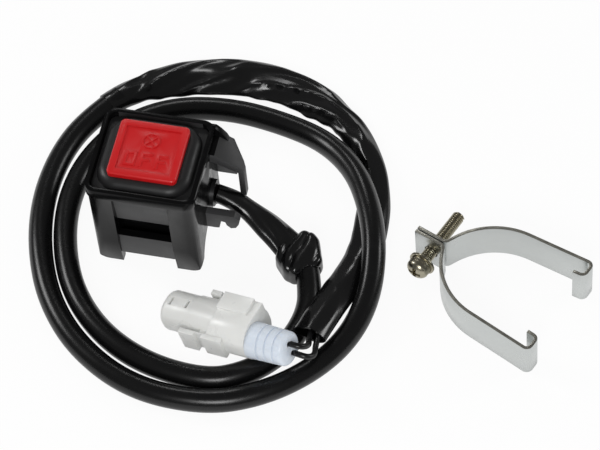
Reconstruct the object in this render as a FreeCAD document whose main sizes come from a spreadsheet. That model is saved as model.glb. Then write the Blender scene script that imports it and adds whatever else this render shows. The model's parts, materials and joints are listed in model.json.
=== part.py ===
"""Handlebar engine kill switch: square push switch on a saddle housing, its sleeved lead
with a two-pole connector, and the two-strip clamp that hooks it to the handlebar.

Frame: millimetres, +X along the handlebar, +Y towards the back of the switch, +Z up.
The origin is the handlebar axis at the middle of the saddle, level with the feet.
"""

import FreeCAD, Part
import Sketcher
import math
import os

from FreeCAD import Placement, Rotation, Vector

document = FreeCAD.newDocument("EngineKillSwitch")
sheet = document.addObject("Spreadsheet::Sheet", "Sizes")
working_sheet = document.addObject("Spreadsheet::Sheet", "WorkedOut")

SIZES = {
    # housing
    "housing_width": 32.8,
    "housing_depth": 30.0,
    "housing_height": 38.5,
    "corner_radius": 3.4,
    "rim_height": 3.8,
    "rim_overhang": 0.4,
    "rim_wall": 1.4,
    "tray_depth": 3.2,
    "bar_radius": 11.1,
    "chamber_width": 25.0,
    "chamber_depth": 22.4,
    "well_depth": 14.8,
    "floor_level": 13.4,
    "guide_level": 24.0,
    # clamp seats on the front and the back of the housing
    "channel_width": 16.9,
    "channel_depth": 1.5,
    "panel_thickness": 2.4,
    "panel_bottom": 4.8,
    "panel_top": 14.0,
    "pocket_bottom": 9.6,
    "pocket_width": 2.8,
    "window_top": 21.5,
    "ramp_depth": 1.1,
    "ramp_height": 9.0,
    "foot_taper": 1.5,
    "foot_taper_height": 12.0,
    # lead outlet on the right side
    "outlet_y": 4.6,
    "outlet_level": 16.9,
    "outlet_bore": 6.0,
    "hood_reach": 10.2,
    "hood_front": 6.2,
    "hood_back": 15.0,
    "hood_bottom": 15.6,
    "hood_eave": 27.4,
    "hood_wall": 1.8,
    "hood_narrowing": 4.6,
    "guard_reach": 10.2,
    "guard_thickness": 2.4,
    "guard_back": -1.6,
    "guard_bottom": 11.9,
    "guard_top": 18.2,
    # boot, button and plunger
    "boot_gap": 1.0,
    "boot_wall": 1.3,
    "boot_flange": 1.2,
    "boot_top": 39.6,
    "boot_corner_radius": 7.0,
    "boot_shoulder": 2.9,
    "fit_clearance": 0.1,
    "button_width": 21.2,
    "button_depth": 20.2,
    "button_thickness": 1.9,
    "button_corner_radius": 1.5,
    "button_border": 2.3,
    "button_recess": 0.5,
    "mark_height": 0.25,
    "mark_stroke": 0.9,
    "mark_letter_height": 5.2,
    "mark_letter_width": 3.6,
    "mark_gap": 1.2,
    "mark_ring_diameter": 5.6,
    "mark_rows": 7.0,
    "neck_diameter": 8.0,
    "travel": 2.5,
    "head_width": 15.0,
    "head_depth": 14.0,
    "head_thickness": 1.8,
    "stem_diameter": 5.0,
    "stem_end_diameter": 3.0,
    "running_clearance": 0.05,
    "clip_diameter": 8.4,
    "clip_thickness": 0.8,
    "clip_gap": 0.2,
    "clip_groove_diameter": 3.8,
    "spring_diameter": 9.2,
    "spring_wire": 0.7,
    "spring_coils": 6.0,
    "spring_wire_sides": 8,
    "guide_thickness": 2.0,
    "guide_screw_x": 10.6,
    "guide_screw_y": 9.2,
    "small_screw_diameter": 2.0,
    "small_head_diameter": 3.6,
    "small_head_height": 1.3,
    "small_screw_length": 6.0,
    # contacts
    "board_thickness": 1.6,
    "contact_thickness": 0.8,
    "contact_spacing": 15.0,
    "contact_gap": 2.6,
    "contact_button_diameter": 2.8,
    "bridge_length": 18.6,
    "bridge_width": 4.0,
    "push_nut_diameter": 5.5,
    "board_screw_x": 10.2,
    "board_screw_length": 3.3,
    "wire_diameter": 1.8,
    "wire_spacing": 1.9,
    "grommet_flange": 1.2,
    "grommet_flange_diameter": 8.4,
    # lead
    "lead_sleeve_diameter": 5.8,
    "lead_sleeve_spread": 10.4,
    "main_sleeve_diameter": 7.4,
    "wide_sleeve_start": 8.2,
    "wide_sleeve_width": 13.8,
    "wide_sleeve_waist": 9.4,
    "wide_sleeve_mouth": 10.6,
    "wide_sleeve_height": 5.2,
    "wide_sleeve_wall": 0.7,
    "wide_sleeve_hollow": 8.4,
    "wrap_height": 9.4,
    "wrap_rounding": 2.6,
    # connector
    "connector_x": 10.7,
    "connector_y": -31.5,
    "connector_z": 5.7,
    "connector_turn": -15.2,
    "connector_tilt": -14.6,
    "connector_nose_width": 12.0,
    "connector_nose_height": 11.2,
    "connector_nose_length": 10.8,
    "connector_neck_width": 12.6,
    "connector_neck_height": 11.8,
    "connector_shell_at": 15.0,
    "connector_shell_slant": 5.0,
    "connector_shell_width": 14.8,
    "connector_shell_shift": 0.7,
    "connector_shell_height": 13.4,
    "connector_length": 32.0,
    "nose_rounding": 2.2,
    "window_length": 0.9,
    "window_width": 2.8,
    "wing_span": 18.2,
    "wing_thickness": 1.6,
    "wing_height": 7.6,
    "wing_length": 15.0,
    "wing_at": 9.6,
    "wing_notch": 2.8,
    "latch_length": 12.6,
    "latch_inner": 0.4,
    "latch_width": 5.8,
    "latch_bottom": 2.0,
    "latch_height": 7.6,
    "latch_step": 1.2,
    "latch_step_length": 2.4,
    "boot_sleeve_length": 12.6,
    "boot_sleeve_shift": 2.9,
    "wire_exit": 1.6,
    "boot_sleeve_root": 11.2,
    "boot_sleeve_end": 10.4,
    "boot_ring_depth": 0.35,
    "boot_spigot": 3.0,
    "boot_spigot_diameter": 6.8,
    "terminal_length": 12.0,
    "terminal_back": 27.5,
    "terminal_width": 2.2,
    "terminal_thickness": 1.8,
    "terminal_pitch": 4.2,
    # clamp
    "clamp_x": 84.4,
    "clamp_y": 3.0,
    "clamp_turn": -22.6,
    "strip_width": 13.0,
    "strip_thickness": 1.1,
    "clamp_span": 36.8,
    "clamp_reach": 45.8,
    "lug_tail": 5.7,
    "lug_head": 4.3,
    "lug_gap": 0.3,
    "strip_rise": 66.0,
    "strip_splay": 4.2,
    "strip_bow": 22.0,
    "bend_radius": 1.6,
    "hook_leg": 6.2,
    "hook_tab": 4.2,
    "screw_diameter": 4.0,
    "screw_pitch": 0.7,
    "screw_under_head": 22.0,
    "screw_head_diameter": 7.0,
    "screw_head_height": 2.6,
    "screw_recess": 1.5,
    "screw_clearance": 0.25,
    "screw_gap": 4.4,
    "washer_diameter": 8.4,
    "washer_thickness": 0.8,
    "spring_washer_diameter": 7.2,
    "spring_washer_height": 1.1,
}

for row, (name, value) in enumerate(SIZES.items(), start=1):
    sheet.set(f"A{row}", name)
    sheet.set(f"B{row}", str(value))
    sheet.setAlias(f"B{row}", name)
document.recompute()


def size(name):
    """A driving dimension, read from the sheet."""
    return float(sheet.get(name))


def bound(text):
    """An expression on the sheet's names: every word in it is an alias."""
    words = []
    for word in text.replace("(", " ( ").replace(")", " ) ").split():
        words.append(f"Sizes.{word}" if word in SIZES else word)
    return " ".join(words)


# Levels and faces that several pieces share, as expressions on the sheet.
RIM_WIDTH = "( housing_width + 2 * rim_overhang )"
RIM_DEPTH = "( housing_depth + 2 * rim_overhang )"
RIM_BOTTOM = "( housing_height - rim_height )"
TRAY_LEVEL = "( housing_height - tray_depth )"
CHANNEL_FACE = "( housing_depth / 2 - channel_depth )"
PANEL_BACK = "( housing_depth / 2 - channel_depth - panel_thickness )"
POCKET_BACK = "( housing_depth / 2 - channel_depth - panel_thickness - pocket_width )"
SIDE_FACE = "( housing_width / 2 )"
BOARD_TOP = "( floor_level + board_thickness )"
BRIDGE_BOTTOM = "( floor_level + board_thickness + 2 * contact_thickness + contact_gap )"
BRIDGE_TOP = "( floor_level + board_thickness + 3 * contact_thickness + contact_gap )"
GUIDE_TOP = "( guide_level + guide_thickness )"
HEAD_BOTTOM = "( boot_top - boot_wall - head_thickness )"
BUTTON_TOP = "( boot_top + button_thickness )"


WORKED_OUT = {}


def number(text):
    """The value of an expression on the sheet's names, kept in a cell of its own."""
    if text not in WORKED_OUT:
        cell = f"A{len(WORKED_OUT) + 1}"
        working_sheet.set(cell, "=" + bound(text))
        working_sheet.recompute()
        value = working_sheet.get(cell)
        WORKED_OUT[text] = float(getattr(value, "Value", value))
    return WORKED_OUT[text]


def new_body(label):
    body = document.addObject("PartDesign::Body", label)
    body.Label = label
    return body


def new_sketch(body, name, role, level="0", across="0", along="0"):
    """A sketch on one of the body's origin planes, its own origin moved by expressions."""
    plane = next(item for item in body.Origin.OriginFeatures if item.Role == role)
    sketch = body.newObject("Sketcher::SketchObject", f"{body.Label}_{name}")
    sketch.AttachmentSupport = [(plane, "")]
    sketch.MapMode = "FlatFace"
    sketch.setExpression("AttachmentOffset.Base.x", bound(across))
    sketch.setExpression("AttachmentOffset.Base.y", bound(along))
    sketch.setExpression("AttachmentOffset.Base.z", bound(level))
    return sketch


def constrain(sketch, kind, arguments, text):
    """One driving dimension in a sketch, bound to an expression."""
    index = sketch.addConstraint(Sketcher.Constraint(kind, *arguments, number(text)))
    sketch.setExpression(f"Constraints[{index}]", bound(text))


def add_rectangle(sketch, width, depth):
    """A rectangle centred on the sketch's origin."""
    first = sketch.GeometryCount
    half_x = number(width) / 2
    half_y = number(depth) / 2
    corners = [(-half_x, -half_y), (half_x, -half_y), (half_x, half_y), (-half_x, half_y)]
    for index in range(4):
        start = Vector(*corners[index], 0)
        end = Vector(*corners[(index + 1) % 4], 0)
        sketch.addGeometry(Part.LineSegment(start, end), False)
    for index in range(4):
        after = first + (index + 1) % 4
        sketch.addConstraint(Sketcher.Constraint("Coincident", first + index, 2, after, 1))
        direction = "Horizontal" if index % 2 == 0 else "Vertical"
        sketch.addConstraint(Sketcher.Constraint(direction, first + index))
    sketch.addConstraint(Sketcher.Constraint("Symmetric", first, 1, first + 1, 2, -1, 1))
    constrain(sketch, "DistanceX", (first, 1, first, 2), width)
    constrain(sketch, "DistanceY", (first + 1, 1, first + 1, 2), depth)


def add_circle(sketch, diameter, centre=("0", "0")):
    """A circle of a diameter, its centre placed from the sketch's origin."""
    first = sketch.GeometryCount
    middle = Vector(number(centre[0]), number(centre[1]), 0)
    sketch.addGeometry(Part.Circle(middle, Vector(0, 0, 1), number(diameter) / 2), False)
    constrain(sketch, "Diameter", (first,), diameter)
    for kind, text in (("DistanceX", centre[0]), ("DistanceY", centre[1])):
        constrain(sketch, kind, (-1, 1, first, 3), text)


def add_polygon(sketch, corners):
    """A closed outline through corners that are pairs of expressions."""
    first = sketch.GeometryCount
    count = len(corners)
    places = [Vector(number(x), number(y), 0) for x, y in corners]
    for index in range(count):
        sketch.addGeometry(Part.LineSegment(places[index], places[(index + 1) % count]), False)
    for index in range(count):
        after = first + (index + 1) % count
        sketch.addConstraint(Sketcher.Constraint("Coincident", first + index, 2, after, 1))
    for index, (x, y) in enumerate(corners):
        constrain(sketch, "DistanceX", (-1, 1, first + index, 1), x)
        constrain(sketch, "DistanceY", (-1, 1, first + index, 1), y)


def pad(body, name, sketch, length, reverse=False):
    feature = body.newObject("PartDesign::Pad", f"{body.Label}_{name}")
    feature.Profile = sketch
    feature.setExpression("Length", bound(length))
    feature.Reversed = reverse
    document.recompute()
    return feature


def pocket(body, name, sketch, length, reverse=False):
    """A cut of a stated depth, which has to take material away."""
    before = body.Shape.Volume
    feature = body.newObject("PartDesign::Pocket", f"{body.Label}_{name}")
    feature.Profile = sketch
    feature.setExpression("Length", bound(length))
    feature.Reversed = reverse
    document.recompute()
    if not body.Shape.Volume < before:
        raise ValueError(f"{feature.Name} cuts nothing")
    return feature


def revolve(body, name, sketch):
    """A full turn of a profile about the sketch's own upright axis."""
    feature = body.newObject("PartDesign::Revolution", f"{body.Label}_{name}")
    feature.Profile = sketch
    feature.ReferenceAxis = (sketch, ["V_Axis"])
    feature.Angle = 360
    document.recompute()
    return feature


def edges_where(feature, test):
    """Names of a feature's edges whose two ends and middle pass a test."""
    found = []
    for index, edge in enumerate(feature.Shape.Edges, start=1):
        ends = [vertex.Point for vertex in edge.Vertexes]
        if test(edge, ends):
            found.append(f"Edge{index}")
    return found


def upright(edge, ends):
    """A straight edge that runs along Z."""
    if len(ends) != 2 or edge.Curve.TypeId != "Part::GeomLine":
        return False
    return abs(ends[0].z - ends[1].z) > 0.5 and (ends[0] - ends[1]).cross(Vector(0, 0, 1)).Length < 1e-6


def round_edges(body, name, feature, test, radius, kind="PartDesign::Fillet"):
    """A fillet, or a chamfer, on the edges of the last feature that pass a test."""
    names = edges_where(feature, test)
    if not names:
        raise ValueError(f"{body.Label} {name} finds no edge")
    rounding = body.newObject(kind, f"{body.Label}_{name}")
    rounding.Base = (feature, names)
    rounding.setExpression("Radius" if kind.endswith("Fillet") else "Size", bound(radius))
    document.recompute()
    return rounding


def shape_feature(label, shape):
    """A sub-part whose shape comes from the sheet through this file's own functions."""
    feature = document.addObject("Part::Feature", label)
    feature.Label = label
    feature.Shape = shape
    return feature


def cylinder(start, direction, radius, length):
    return Part.makeCylinder(radius, length, start, direction)


def block(low, high):
    """A box between two opposite corners."""
    return Part.makeBox(high.x - low.x, high.y - low.y, high.z - low.z, low)


# Housing


def build_housing():
    """The moulded housing: body, rim tray, chambers, saddle, clamp seats and lead outlet."""
    body = new_body("switch_housing")
    outline = new_sketch(body, "outline", "XY_Plane")
    add_rectangle(outline, "housing_width", "housing_depth")
    pad(body, "block", outline, RIM_BOTTOM)
    rim = new_sketch(body, "rim_outline", "XY_Plane", RIM_BOTTOM)
    add_rectangle(rim, RIM_WIDTH, RIM_DEPTH)
    raised = pad(body, "rim", rim, "rim_height")
    corner_x = number(SIDE_FACE) - 0.1

    def outer_corner(edge, ends):
        return upright(edge, ends) and abs(ends[0].x) > corner_x

    round_edges(body, "corners", raised, outer_corner, "corner_radius")
    hollow_housing(body)
    seat_clamp(body)
    add_hood(body)
    drill_housing(body)
    return body


def hollow_housing(body):
    """The boot's tray, the plunger chamber and the contact well, one below the other."""
    tray = new_sketch(body, "tray_outline", "XY_Plane", "housing_height")
    add_rectangle(tray, f"{RIM_WIDTH} - 2 * rim_wall", f"{RIM_DEPTH} - 2 * rim_wall")
    cut = pocket(body, "tray", tray, "tray_depth")
    inner_x = number(f"{RIM_WIDTH} / 2 - rim_wall")
    tray_level = number(TRAY_LEVEL)

    def tray_corner(edge, ends):
        low = min(end.z for end in ends)
        return upright(edge, ends) and abs(abs(ends[0].x) - inner_x) < 0.01 and low > tray_level - 0.01

    round_edges(body, "tray_corners", cut, tray_corner, "corner_radius - rim_wall + 0.4")
    chamber = new_sketch(body, "chamber_outline", "XY_Plane", TRAY_LEVEL)
    add_rectangle(chamber, "chamber_width", "chamber_depth")
    pocket(body, "chamber", chamber, f"{TRAY_LEVEL} - guide_level")
    well = new_sketch(body, "well_outline", "XY_Plane", "guide_level")
    add_rectangle(well, "chamber_width", "well_depth")
    pocket(body, "well", well, "guide_level - floor_level")
    saddle = new_sketch(body, "saddle_outline", "YZ_Plane", f"- {SIDE_FACE} - rim_overhang")
    add_circle(saddle, "2 * bar_radius")
    pocket(body, "saddle", saddle, "housing_width + 2 * rim_overhang", reverse=True)


def seat_clamp(body):
    """Channels, hook panels and hook pockets, the same on the front and the back."""
    cuts = (
        ("channel", "channel_width", CHANNEL_FACE, "housing_depth / 2 + 1", "0", RIM_BOTTOM),
        ("gap", "channel_width", POCKET_BACK, CHANNEL_FACE, "0", "panel_bottom"),
        ("window", "channel_width", POCKET_BACK, CHANNEL_FACE, "panel_top", "window_top"),
        ("hook_pocket", "channel_width", POCKET_BACK, PANEL_BACK, "pocket_bottom", "panel_top"),
    )
    for side, sign in (("front", "-"), ("back", "")):
        for name, width, near, far, low, high in cuts:
            middle = f"{sign} ( {near} + {far} ) / 2"
            outline = new_sketch(body, f"{name}_{side}_outline", "XY_Plane", low, along=middle)
            add_rectangle(outline, width, f"{far} - {near}")
            pocket(body, f"{name}_{side}", outline, f"{high} - {low}", reverse=True)
        ramp = new_sketch(body, f"ramp_{side}_outline", "YZ_Plane", "- channel_width / 2")
        corners = (
            (CHANNEL_FACE, "window_top + ramp_height"),
            (f"{CHANNEL_FACE} - ramp_depth", "window_top"),
            (f"{CHANNEL_FACE} + 0.5", "window_top"),
            (f"{CHANNEL_FACE} + 0.5", "window_top + ramp_height"),
        )
        add_polygon(ramp, [(f"{sign} ( {y} )", z) for y, z in corners])
        pocket(body, f"ramp_{side}", ramp, "channel_width", reverse=True)
        taper = new_sketch(body, f"taper_{side}_outline", "YZ_Plane", f"- {SIDE_FACE}")
        corners = (
            ("housing_depth / 2", "foot_taper_height"),
            ("housing_depth / 2 + 1", "foot_taper_height"),
            ("housing_depth / 2 + 1", "0 - 1"),
            ("housing_depth / 2 - foot_taper * ( foot_taper_height + 1 ) / foot_taper_height", "0 - 1"),
        )
        add_polygon(taper, [(f"{sign} ( {y} )", z) for y, z in corners])
        pocket(body, f"taper_{side}", taper, "housing_width", reverse=True)


def add_hood(body):
    """The hood over the lead's way out, its back wall and the guard tab below the lead."""
    inside = f"{SIDE_FACE} - 1"
    outside = f"{SIDE_FACE} + hood_reach"
    roof = (
        (inside, f"{RIM_BOTTOM} - 0.4"),
        (f"{SIDE_FACE} + 1.6", f"{RIM_BOTTOM} - 0.4"),
        (f"{outside} - 0.6", "hood_eave + hood_wall"),
        (outside, "hood_eave"),
        (outside, "hood_bottom"),
        (f"{outside} - hood_wall", "hood_bottom"),
        (f"{outside} - hood_wall", "hood_eave - 0.6"),
        (inside, f"{RIM_BOTTOM} - hood_wall - 1.4"),
    )
    shell = new_sketch(body, "hood_outline", "XZ_Plane", "- hood_front")
    add_polygon(shell, roof)
    pad(body, "hood", shell, "hood_back - hood_front", reverse=True)
    narrow = new_sketch(body, "hood_narrowing_outline", "XY_Plane", "hood_bottom - 1")
    corners = (
        (f"{outside} - hood_narrowing", "hood_back"),
        (f"{outside} - hood_narrowing", "hood_back + 1"),
        (f"{outside} + 1", "hood_back + 1"),
        (f"{outside} + 1", "hood_front + 2.4"),
        (outside, "hood_front + 2.4"),
    )
    add_polygon(narrow, corners)
    pocket(body, "hood_narrowing", narrow, f"{RIM_BOTTOM} - hood_bottom + 1", reverse=True)
    wall = new_sketch(body, "hood_wall_outline", "XZ_Plane", "- ( hood_back - hood_wall )")
    corners = (
        (inside, "housing_height - 0.5"),
        (f"{SIDE_FACE} + 0.6", "housing_height - 0.5"),
        (f"{SIDE_FACE} + 2.0", "housing_height - 1.9"),
        (f"{SIDE_FACE} + 3.6", "housing_height - 4.2"),
        (f"{SIDE_FACE} + 4.6", "housing_height - 7.0"),
        (f"{outside} - hood_narrowing", "hood_eave"),
        (f"{outside} - hood_narrowing", "hood_bottom"),
        (inside, "hood_bottom"),
    )
    add_polygon(wall, corners)
    pad(body, "hood_back_wall", wall, "hood_wall", reverse=True)
    tab = new_sketch(body, "guard_outline", "XZ_Plane", "- guard_back")
    reach = f"{SIDE_FACE} + guard_reach"
    corners = (
        (inside, "guard_top"),
        (f"{reach} - 1.4", "guard_top"),
        (reach, "guard_top - 1.6"),
        (f"{reach} - 0.2", "guard_bottom + 2.6"),
        (f"{reach} - 1.2", "guard_bottom + 0.6"),
        (f"{reach} - 2.8", "guard_bottom"),
        (f"{reach} - 4.0", "guard_bottom + 1.3"),
        (f"{reach} - 4.4", "guard_bottom + 2.8"),
        (f"{reach} - 5.8", "guard_bottom + 3.1"),
        (f"{reach} - 6.4", "guard_bottom - 0.5"),
        (f"{reach} - 7.4", "guard_bottom - 0.7"),
        (inside, "guard_bottom - 0.7"),
    )
    add_polygon(tab, corners)
    pad(body, "guard", tab, "guard_thickness")


def drill_housing(body):
    """The lead's bore in the right wall and the pilot holes of the small screws."""
    bore = new_sketch(body, "bore_outline", "YZ_Plane", "chamber_width / 2 - 0.5", "outlet_y", "outlet_level")
    add_circle(bore, "outlet_bore")
    pocket(body, "bore", bore, f"{SIDE_FACE} - chamber_width / 2 + 0.5 + 0.01", reverse=True)
    pilots = new_sketch(body, "guide_pilot_outline", "XY_Plane", "guide_level")
    for sign in ("", "-"):
        add_circle(pilots, "small_screw_diameter", (f"{sign} guide_screw_x", f"{sign} guide_screw_y"))
    pocket(body, "guide_pilots", pilots, "small_screw_length - guide_thickness + 0.2")
    pilots = new_sketch(body, "board_pilot_outline", "XY_Plane", "floor_level")
    for sign in ("", "-"):
        add_circle(pilots, "small_screw_diameter", (f"{sign} board_screw_x", "0 - well_depth / 2 + 2.2"))
    pocket(body, "board_pilots", pilots, "board_screw_length - board_thickness + 0.1")


# Button and what it moves


def build_boot():
    """The rubber boot: a flange in the tray and a soft square dome over the plunger."""
    body = new_body("rubber_boot")
    flange = new_sketch(body, "flange_outline", "XY_Plane", TRAY_LEVEL)
    inset = "2 * rim_wall - 2 * fit_clearance"
    add_rectangle(flange, f"{RIM_WIDTH} - {inset}", f"{RIM_DEPTH} - {inset}")
    base = pad(body, "flange", flange, "boot_flange")
    round_edges(body, "flange_corners", base, upright, "corner_radius - rim_wall + 0.4")
    dome_width = f"( {RIM_WIDTH} - 2 * rim_wall - 2 * boot_gap )"
    dome_depth = f"( {RIM_DEPTH} - 2 * rim_wall - 2 * boot_gap )"
    dome = new_sketch(body, "dome_outline", "XY_Plane", TRAY_LEVEL)
    add_rectangle(dome, dome_width, dome_depth)
    raised = pad(body, "dome", dome, f"boot_top - {TRAY_LEVEL}")
    flange_top = number(f"{TRAY_LEVEL} + boot_flange")
    top = number("boot_top")

    def dome_corner(edge, ends):
        return upright(edge, ends) and max(end.z for end in ends) > flange_top + 1

    raised = round_edges(body, "dome_corners", raised, dome_corner, "boot_corner_radius")

    def top_edge(edge, ends):
        return all(abs(end.z - top) < 1e-6 for end in ends)

    round_edges(body, "dome_shoulder", raised, top_edge, "boot_shoulder")
    hollow = new_sketch(body, "hollow_outline", "XY_Plane", TRAY_LEVEL)
    add_rectangle(hollow, f"{dome_width} - 2 * boot_wall - 2.4", f"{dome_depth} - 2 * boot_wall - 2.4")
    pocket(body, "hollow", hollow, f"boot_top - boot_wall - {TRAY_LEVEL}", reverse=True)
    hole = new_sketch(body, "neck_hole_outline", "XY_Plane", "boot_top")
    add_circle(hole, "neck_diameter + 2 * fit_clearance")
    pocket(body, "neck_hole", hole, "boot_wall")
    return body


def letter_strokes(letter):
    """The bars of a letter in its own box, as (x, y, width, height) in shares of the box."""
    width = size("mark_letter_width")
    height = size("mark_letter_height")
    stroke = size("mark_stroke")
    upright_bar = (0, 0, stroke, height)
    top_bar = (0, height - stroke, width, stroke)
    if letter == "O":
        return (upright_bar, (width - stroke, 0, stroke, height), top_bar, (0, 0, width, stroke))
    return (upright_bar, top_bar, (0, height / 2 - stroke / 2, width * 0.8, stroke))


def raised_marks(base):
    """The word OFF below a ring with a cross, raised from a level."""
    height = size("mark_height")
    stroke = size("mark_stroke")
    advance = size("mark_letter_width") + size("mark_gap")
    word = "OFF"
    left = -(advance * len(word) - size("mark_gap")) / 2
    low = -size("mark_rows") / 2 - size("mark_letter_height") / 2
    bars = []
    for index, letter in enumerate(word):
        for x, y, width, depth in letter_strokes(letter):
            corner = Vector(left + index * advance + x, low + y, base)
            bars.append(block(corner, corner + Vector(width, depth, height)))
    centre = Vector(0, size("mark_rows") / 2, base)
    radius = size("mark_ring_diameter") / 2
    ring = cylinder(centre, Vector(0, 0, 1), radius, height)
    bars.append(ring.cut(cylinder(centre, Vector(0, 0, 1), radius - stroke * 0.7, height)))
    for angle in (45, -45):
        bar = block(Vector(-radius + 0.4, -stroke * 0.3, 0), Vector(radius - 0.4, stroke * 0.3, height))
        bar.Placement = Placement(centre, Rotation(Vector(0, 0, 1), angle))
        bars.append(bar)
    return bars[0].multiFuse(bars[1:]).removeSplitter()


def build_button():
    """The square push button: bordered cap, raised marks in its recess, and the neck."""
    body = new_body("button_blank")
    outline = new_sketch(body, "outline", "XY_Plane", "boot_top")
    add_rectangle(outline, "button_width", "button_depth")
    cap = pad(body, "cap", outline, "button_thickness")
    cap = round_edges(body, "corners", cap, upright, "button_corner_radius")
    top = number(BUTTON_TOP)

    def top_edge(edge, ends):
        return all(abs(end.z - top) < 1e-6 for end in ends)

    round_edges(body, "top_bevel", cap, top_edge, "0.35", "PartDesign::Chamfer")
    recess = new_sketch(body, "recess_outline", "XY_Plane", BUTTON_TOP)
    add_rectangle(recess, "button_width - 2 * button_border", "button_depth - 2 * button_border")
    pocket(body, "recess", recess, "button_recess")
    neck = new_sketch(body, "neck_outline", "XY_Plane", "boot_top")
    add_circle(neck, "neck_diameter")
    pad(body, "neck", neck, "boot_wall", reverse=True)
    marks = shape_feature("button_marks", raised_marks(number(f"{BUTTON_TOP} - button_recess") - 0.01))
    button = document.addObject("Part::Fuse", "button_cap")
    button.Label = "button_cap"
    button.Base = body
    button.Tool = marks
    return button


def build_plunger():
    """The plunger: head plate under the boot, stem with its clip groove and stepped end."""
    body = new_body("plunger")
    head = new_sketch(body, "head_outline", "XY_Plane", HEAD_BOTTOM)
    add_rectangle(head, "head_width", "head_depth")
    plate = pad(body, "head", head, "head_thickness")
    round_edges(body, "head_corners", plate, upright, "button_corner_radius")
    stem = new_sketch(body, "stem_profile", "XZ_Plane")
    clip_top = "( guide_level - clip_gap )"
    clip_bottom = "( guide_level - clip_gap - clip_thickness )"
    corners = (
        ("0", f"{HEAD_BOTTOM} + 0.5"),
        ("stem_diameter / 2", f"{HEAD_BOTTOM} + 0.5"),
        ("stem_diameter / 2", clip_top),
        ("clip_groove_diameter / 2", clip_top),
        ("clip_groove_diameter / 2", clip_bottom),
        ("stem_diameter / 2", clip_bottom),
        ("stem_diameter / 2", BRIDGE_TOP),
        ("stem_end_diameter / 2", BRIDGE_TOP),
        ("stem_end_diameter / 2", f"{BRIDGE_BOTTOM} - contact_thickness - 0.2"),
        ("0", f"{BRIDGE_BOTTOM} - contact_thickness - 0.2"),
    )
    add_polygon(stem, corners)
    revolve(body, "stem", stem)
    return body


def ring_shape(outer, inner, low, height, centre=Vector(0, 0, 0)):
    """An upright ring."""
    base = centre + Vector(0, 0, low)
    axis = Vector(0, 0, 1)
    return cylinder(base, axis, outer / 2, height).cut(cylinder(base, axis, inner / 2, height))


def build_plunger_clip():
    """The open retaining clip in the stem's groove, under the guide plate."""
    low = size("guide_level") - size("clip_gap") - size("clip_thickness")
    groove = size("clip_groove_diameter")
    clip = ring_shape(size("clip_diameter"), groove, low, size("clip_thickness"))
    reach = size("clip_diameter")
    mouth = block(Vector(0, -groove * 0.42, low), Vector(reach, groove * 0.42, low + size("clip_thickness")))
    return shape_feature("plunger_clip", clip.cut(mouth))


def build_return_spring():
    """The coil spring between the guide plate and the plunger's head.

    Its wire has flat sides with the round wire's own area, so that its mesh follows it closely.
    """
    wire = size("spring_wire")
    sides = int(size("spring_wire_sides"))
    step = 2 * math.pi / sides
    flat = wire / 2 * math.sqrt(step / math.sin(step))
    low = number(GUIDE_TOP) + wire / 2
    height = number(HEAD_BOTTOM) - wire / 2 - low
    radius = (size("spring_diameter") - wire) / 2
    helix = Part.makeHelix(height / size("spring_coils"), height, radius)
    corners = [
        Vector(radius + flat * math.cos((i + 0.5) * step), 0, flat * math.sin((i + 0.5) * step))
        for i in range(sides)
    ]
    section = Part.makePolygon(corners + corners[:1])
    coil = Part.Wire(helix).makePipeShell([section], True, True)
    coil.translate(Vector(0, 0, low))
    return shape_feature("return_spring", coil)


def build_guide_plate():
    """The plate that guides the stem and carries the spring."""
    body = new_body("guide_plate")
    clearance = "2 * fit_clearance"
    outline = new_sketch(body, "outline", "XY_Plane", "guide_level")
    add_rectangle(outline, f"chamber_width - {clearance}", f"chamber_depth - {clearance}")
    pad(body, "plate", outline, "guide_thickness")
    holes = new_sketch(body, "holes", "XY_Plane", GUIDE_TOP)
    add_circle(holes, "stem_diameter + 2 * running_clearance")
    for sign in ("", "-"):
        add_circle(holes, "small_screw_diameter", (f"{sign} guide_screw_x", f"{sign} guide_screw_y"))
    pocket(body, "bores", holes, "guide_thickness")
    return body


def pan_screw(head_diameter, head_height, diameter, length):
    """An upright screw with its head above z = 0, a domed pan head and a cross recess."""
    radius = head_diameter / 2
    side = head_height * 0.45
    start = Vector(0, 0, head_height)
    shoulder = Vector(radius * 0.8, 0, head_height * 0.86)
    rim = Vector(radius, 0, side)
    tip = diameter * 0.12
    edges = [
        Part.Arc(start, shoulder, rim).toShape(),
        Part.makeLine(rim, Vector(radius, 0, 0)),
        Part.makeLine(Vector(radius, 0, 0), Vector(diameter / 2, 0, 0)),
        Part.makeLine(Vector(diameter / 2, 0, 0), Vector(diameter / 2, 0, tip - length)),
        Part.makeLine(Vector(diameter / 2, 0, tip - length), Vector(diameter / 2 - tip, 0, -length)),
        Part.makeLine(Vector(diameter / 2 - tip, 0, -length), Vector(0, 0, -length)),
        Part.makeLine(Vector(0, 0, -length), start),
    ]
    profile = Part.Face(Part.Wire(edges))
    screw = profile.revolve(Vector(0, 0, 0), Vector(0, 0, 1), 360)
    depth = head_height * 0.6
    reach = head_diameter * 0.29
    width = head_diameter * 0.085
    for angle in (0, 90):
        slot = block(Vector(-reach, -width, head_height - depth), Vector(reach, width, head_height + 1))
        slot.Placement = Placement(Vector(0, 0, 0), Rotation(Vector(0, 0, 1), angle))
        screw = screw.cut(slot)
    return screw


def build_small_screws(label, places, level, length):
    """Identical small screws as one group of separate solids."""
    solids = []
    for x, y in places:
        screw = pan_screw(
            size("small_head_diameter"),
            size("small_head_height"),
            size("small_screw_diameter"),
            length,
        )
        screw.translate(Vector(x, y, level))
        solids.append(screw)
    return shape_feature(label, Part.makeCompound(solids))


# Contacts


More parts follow.
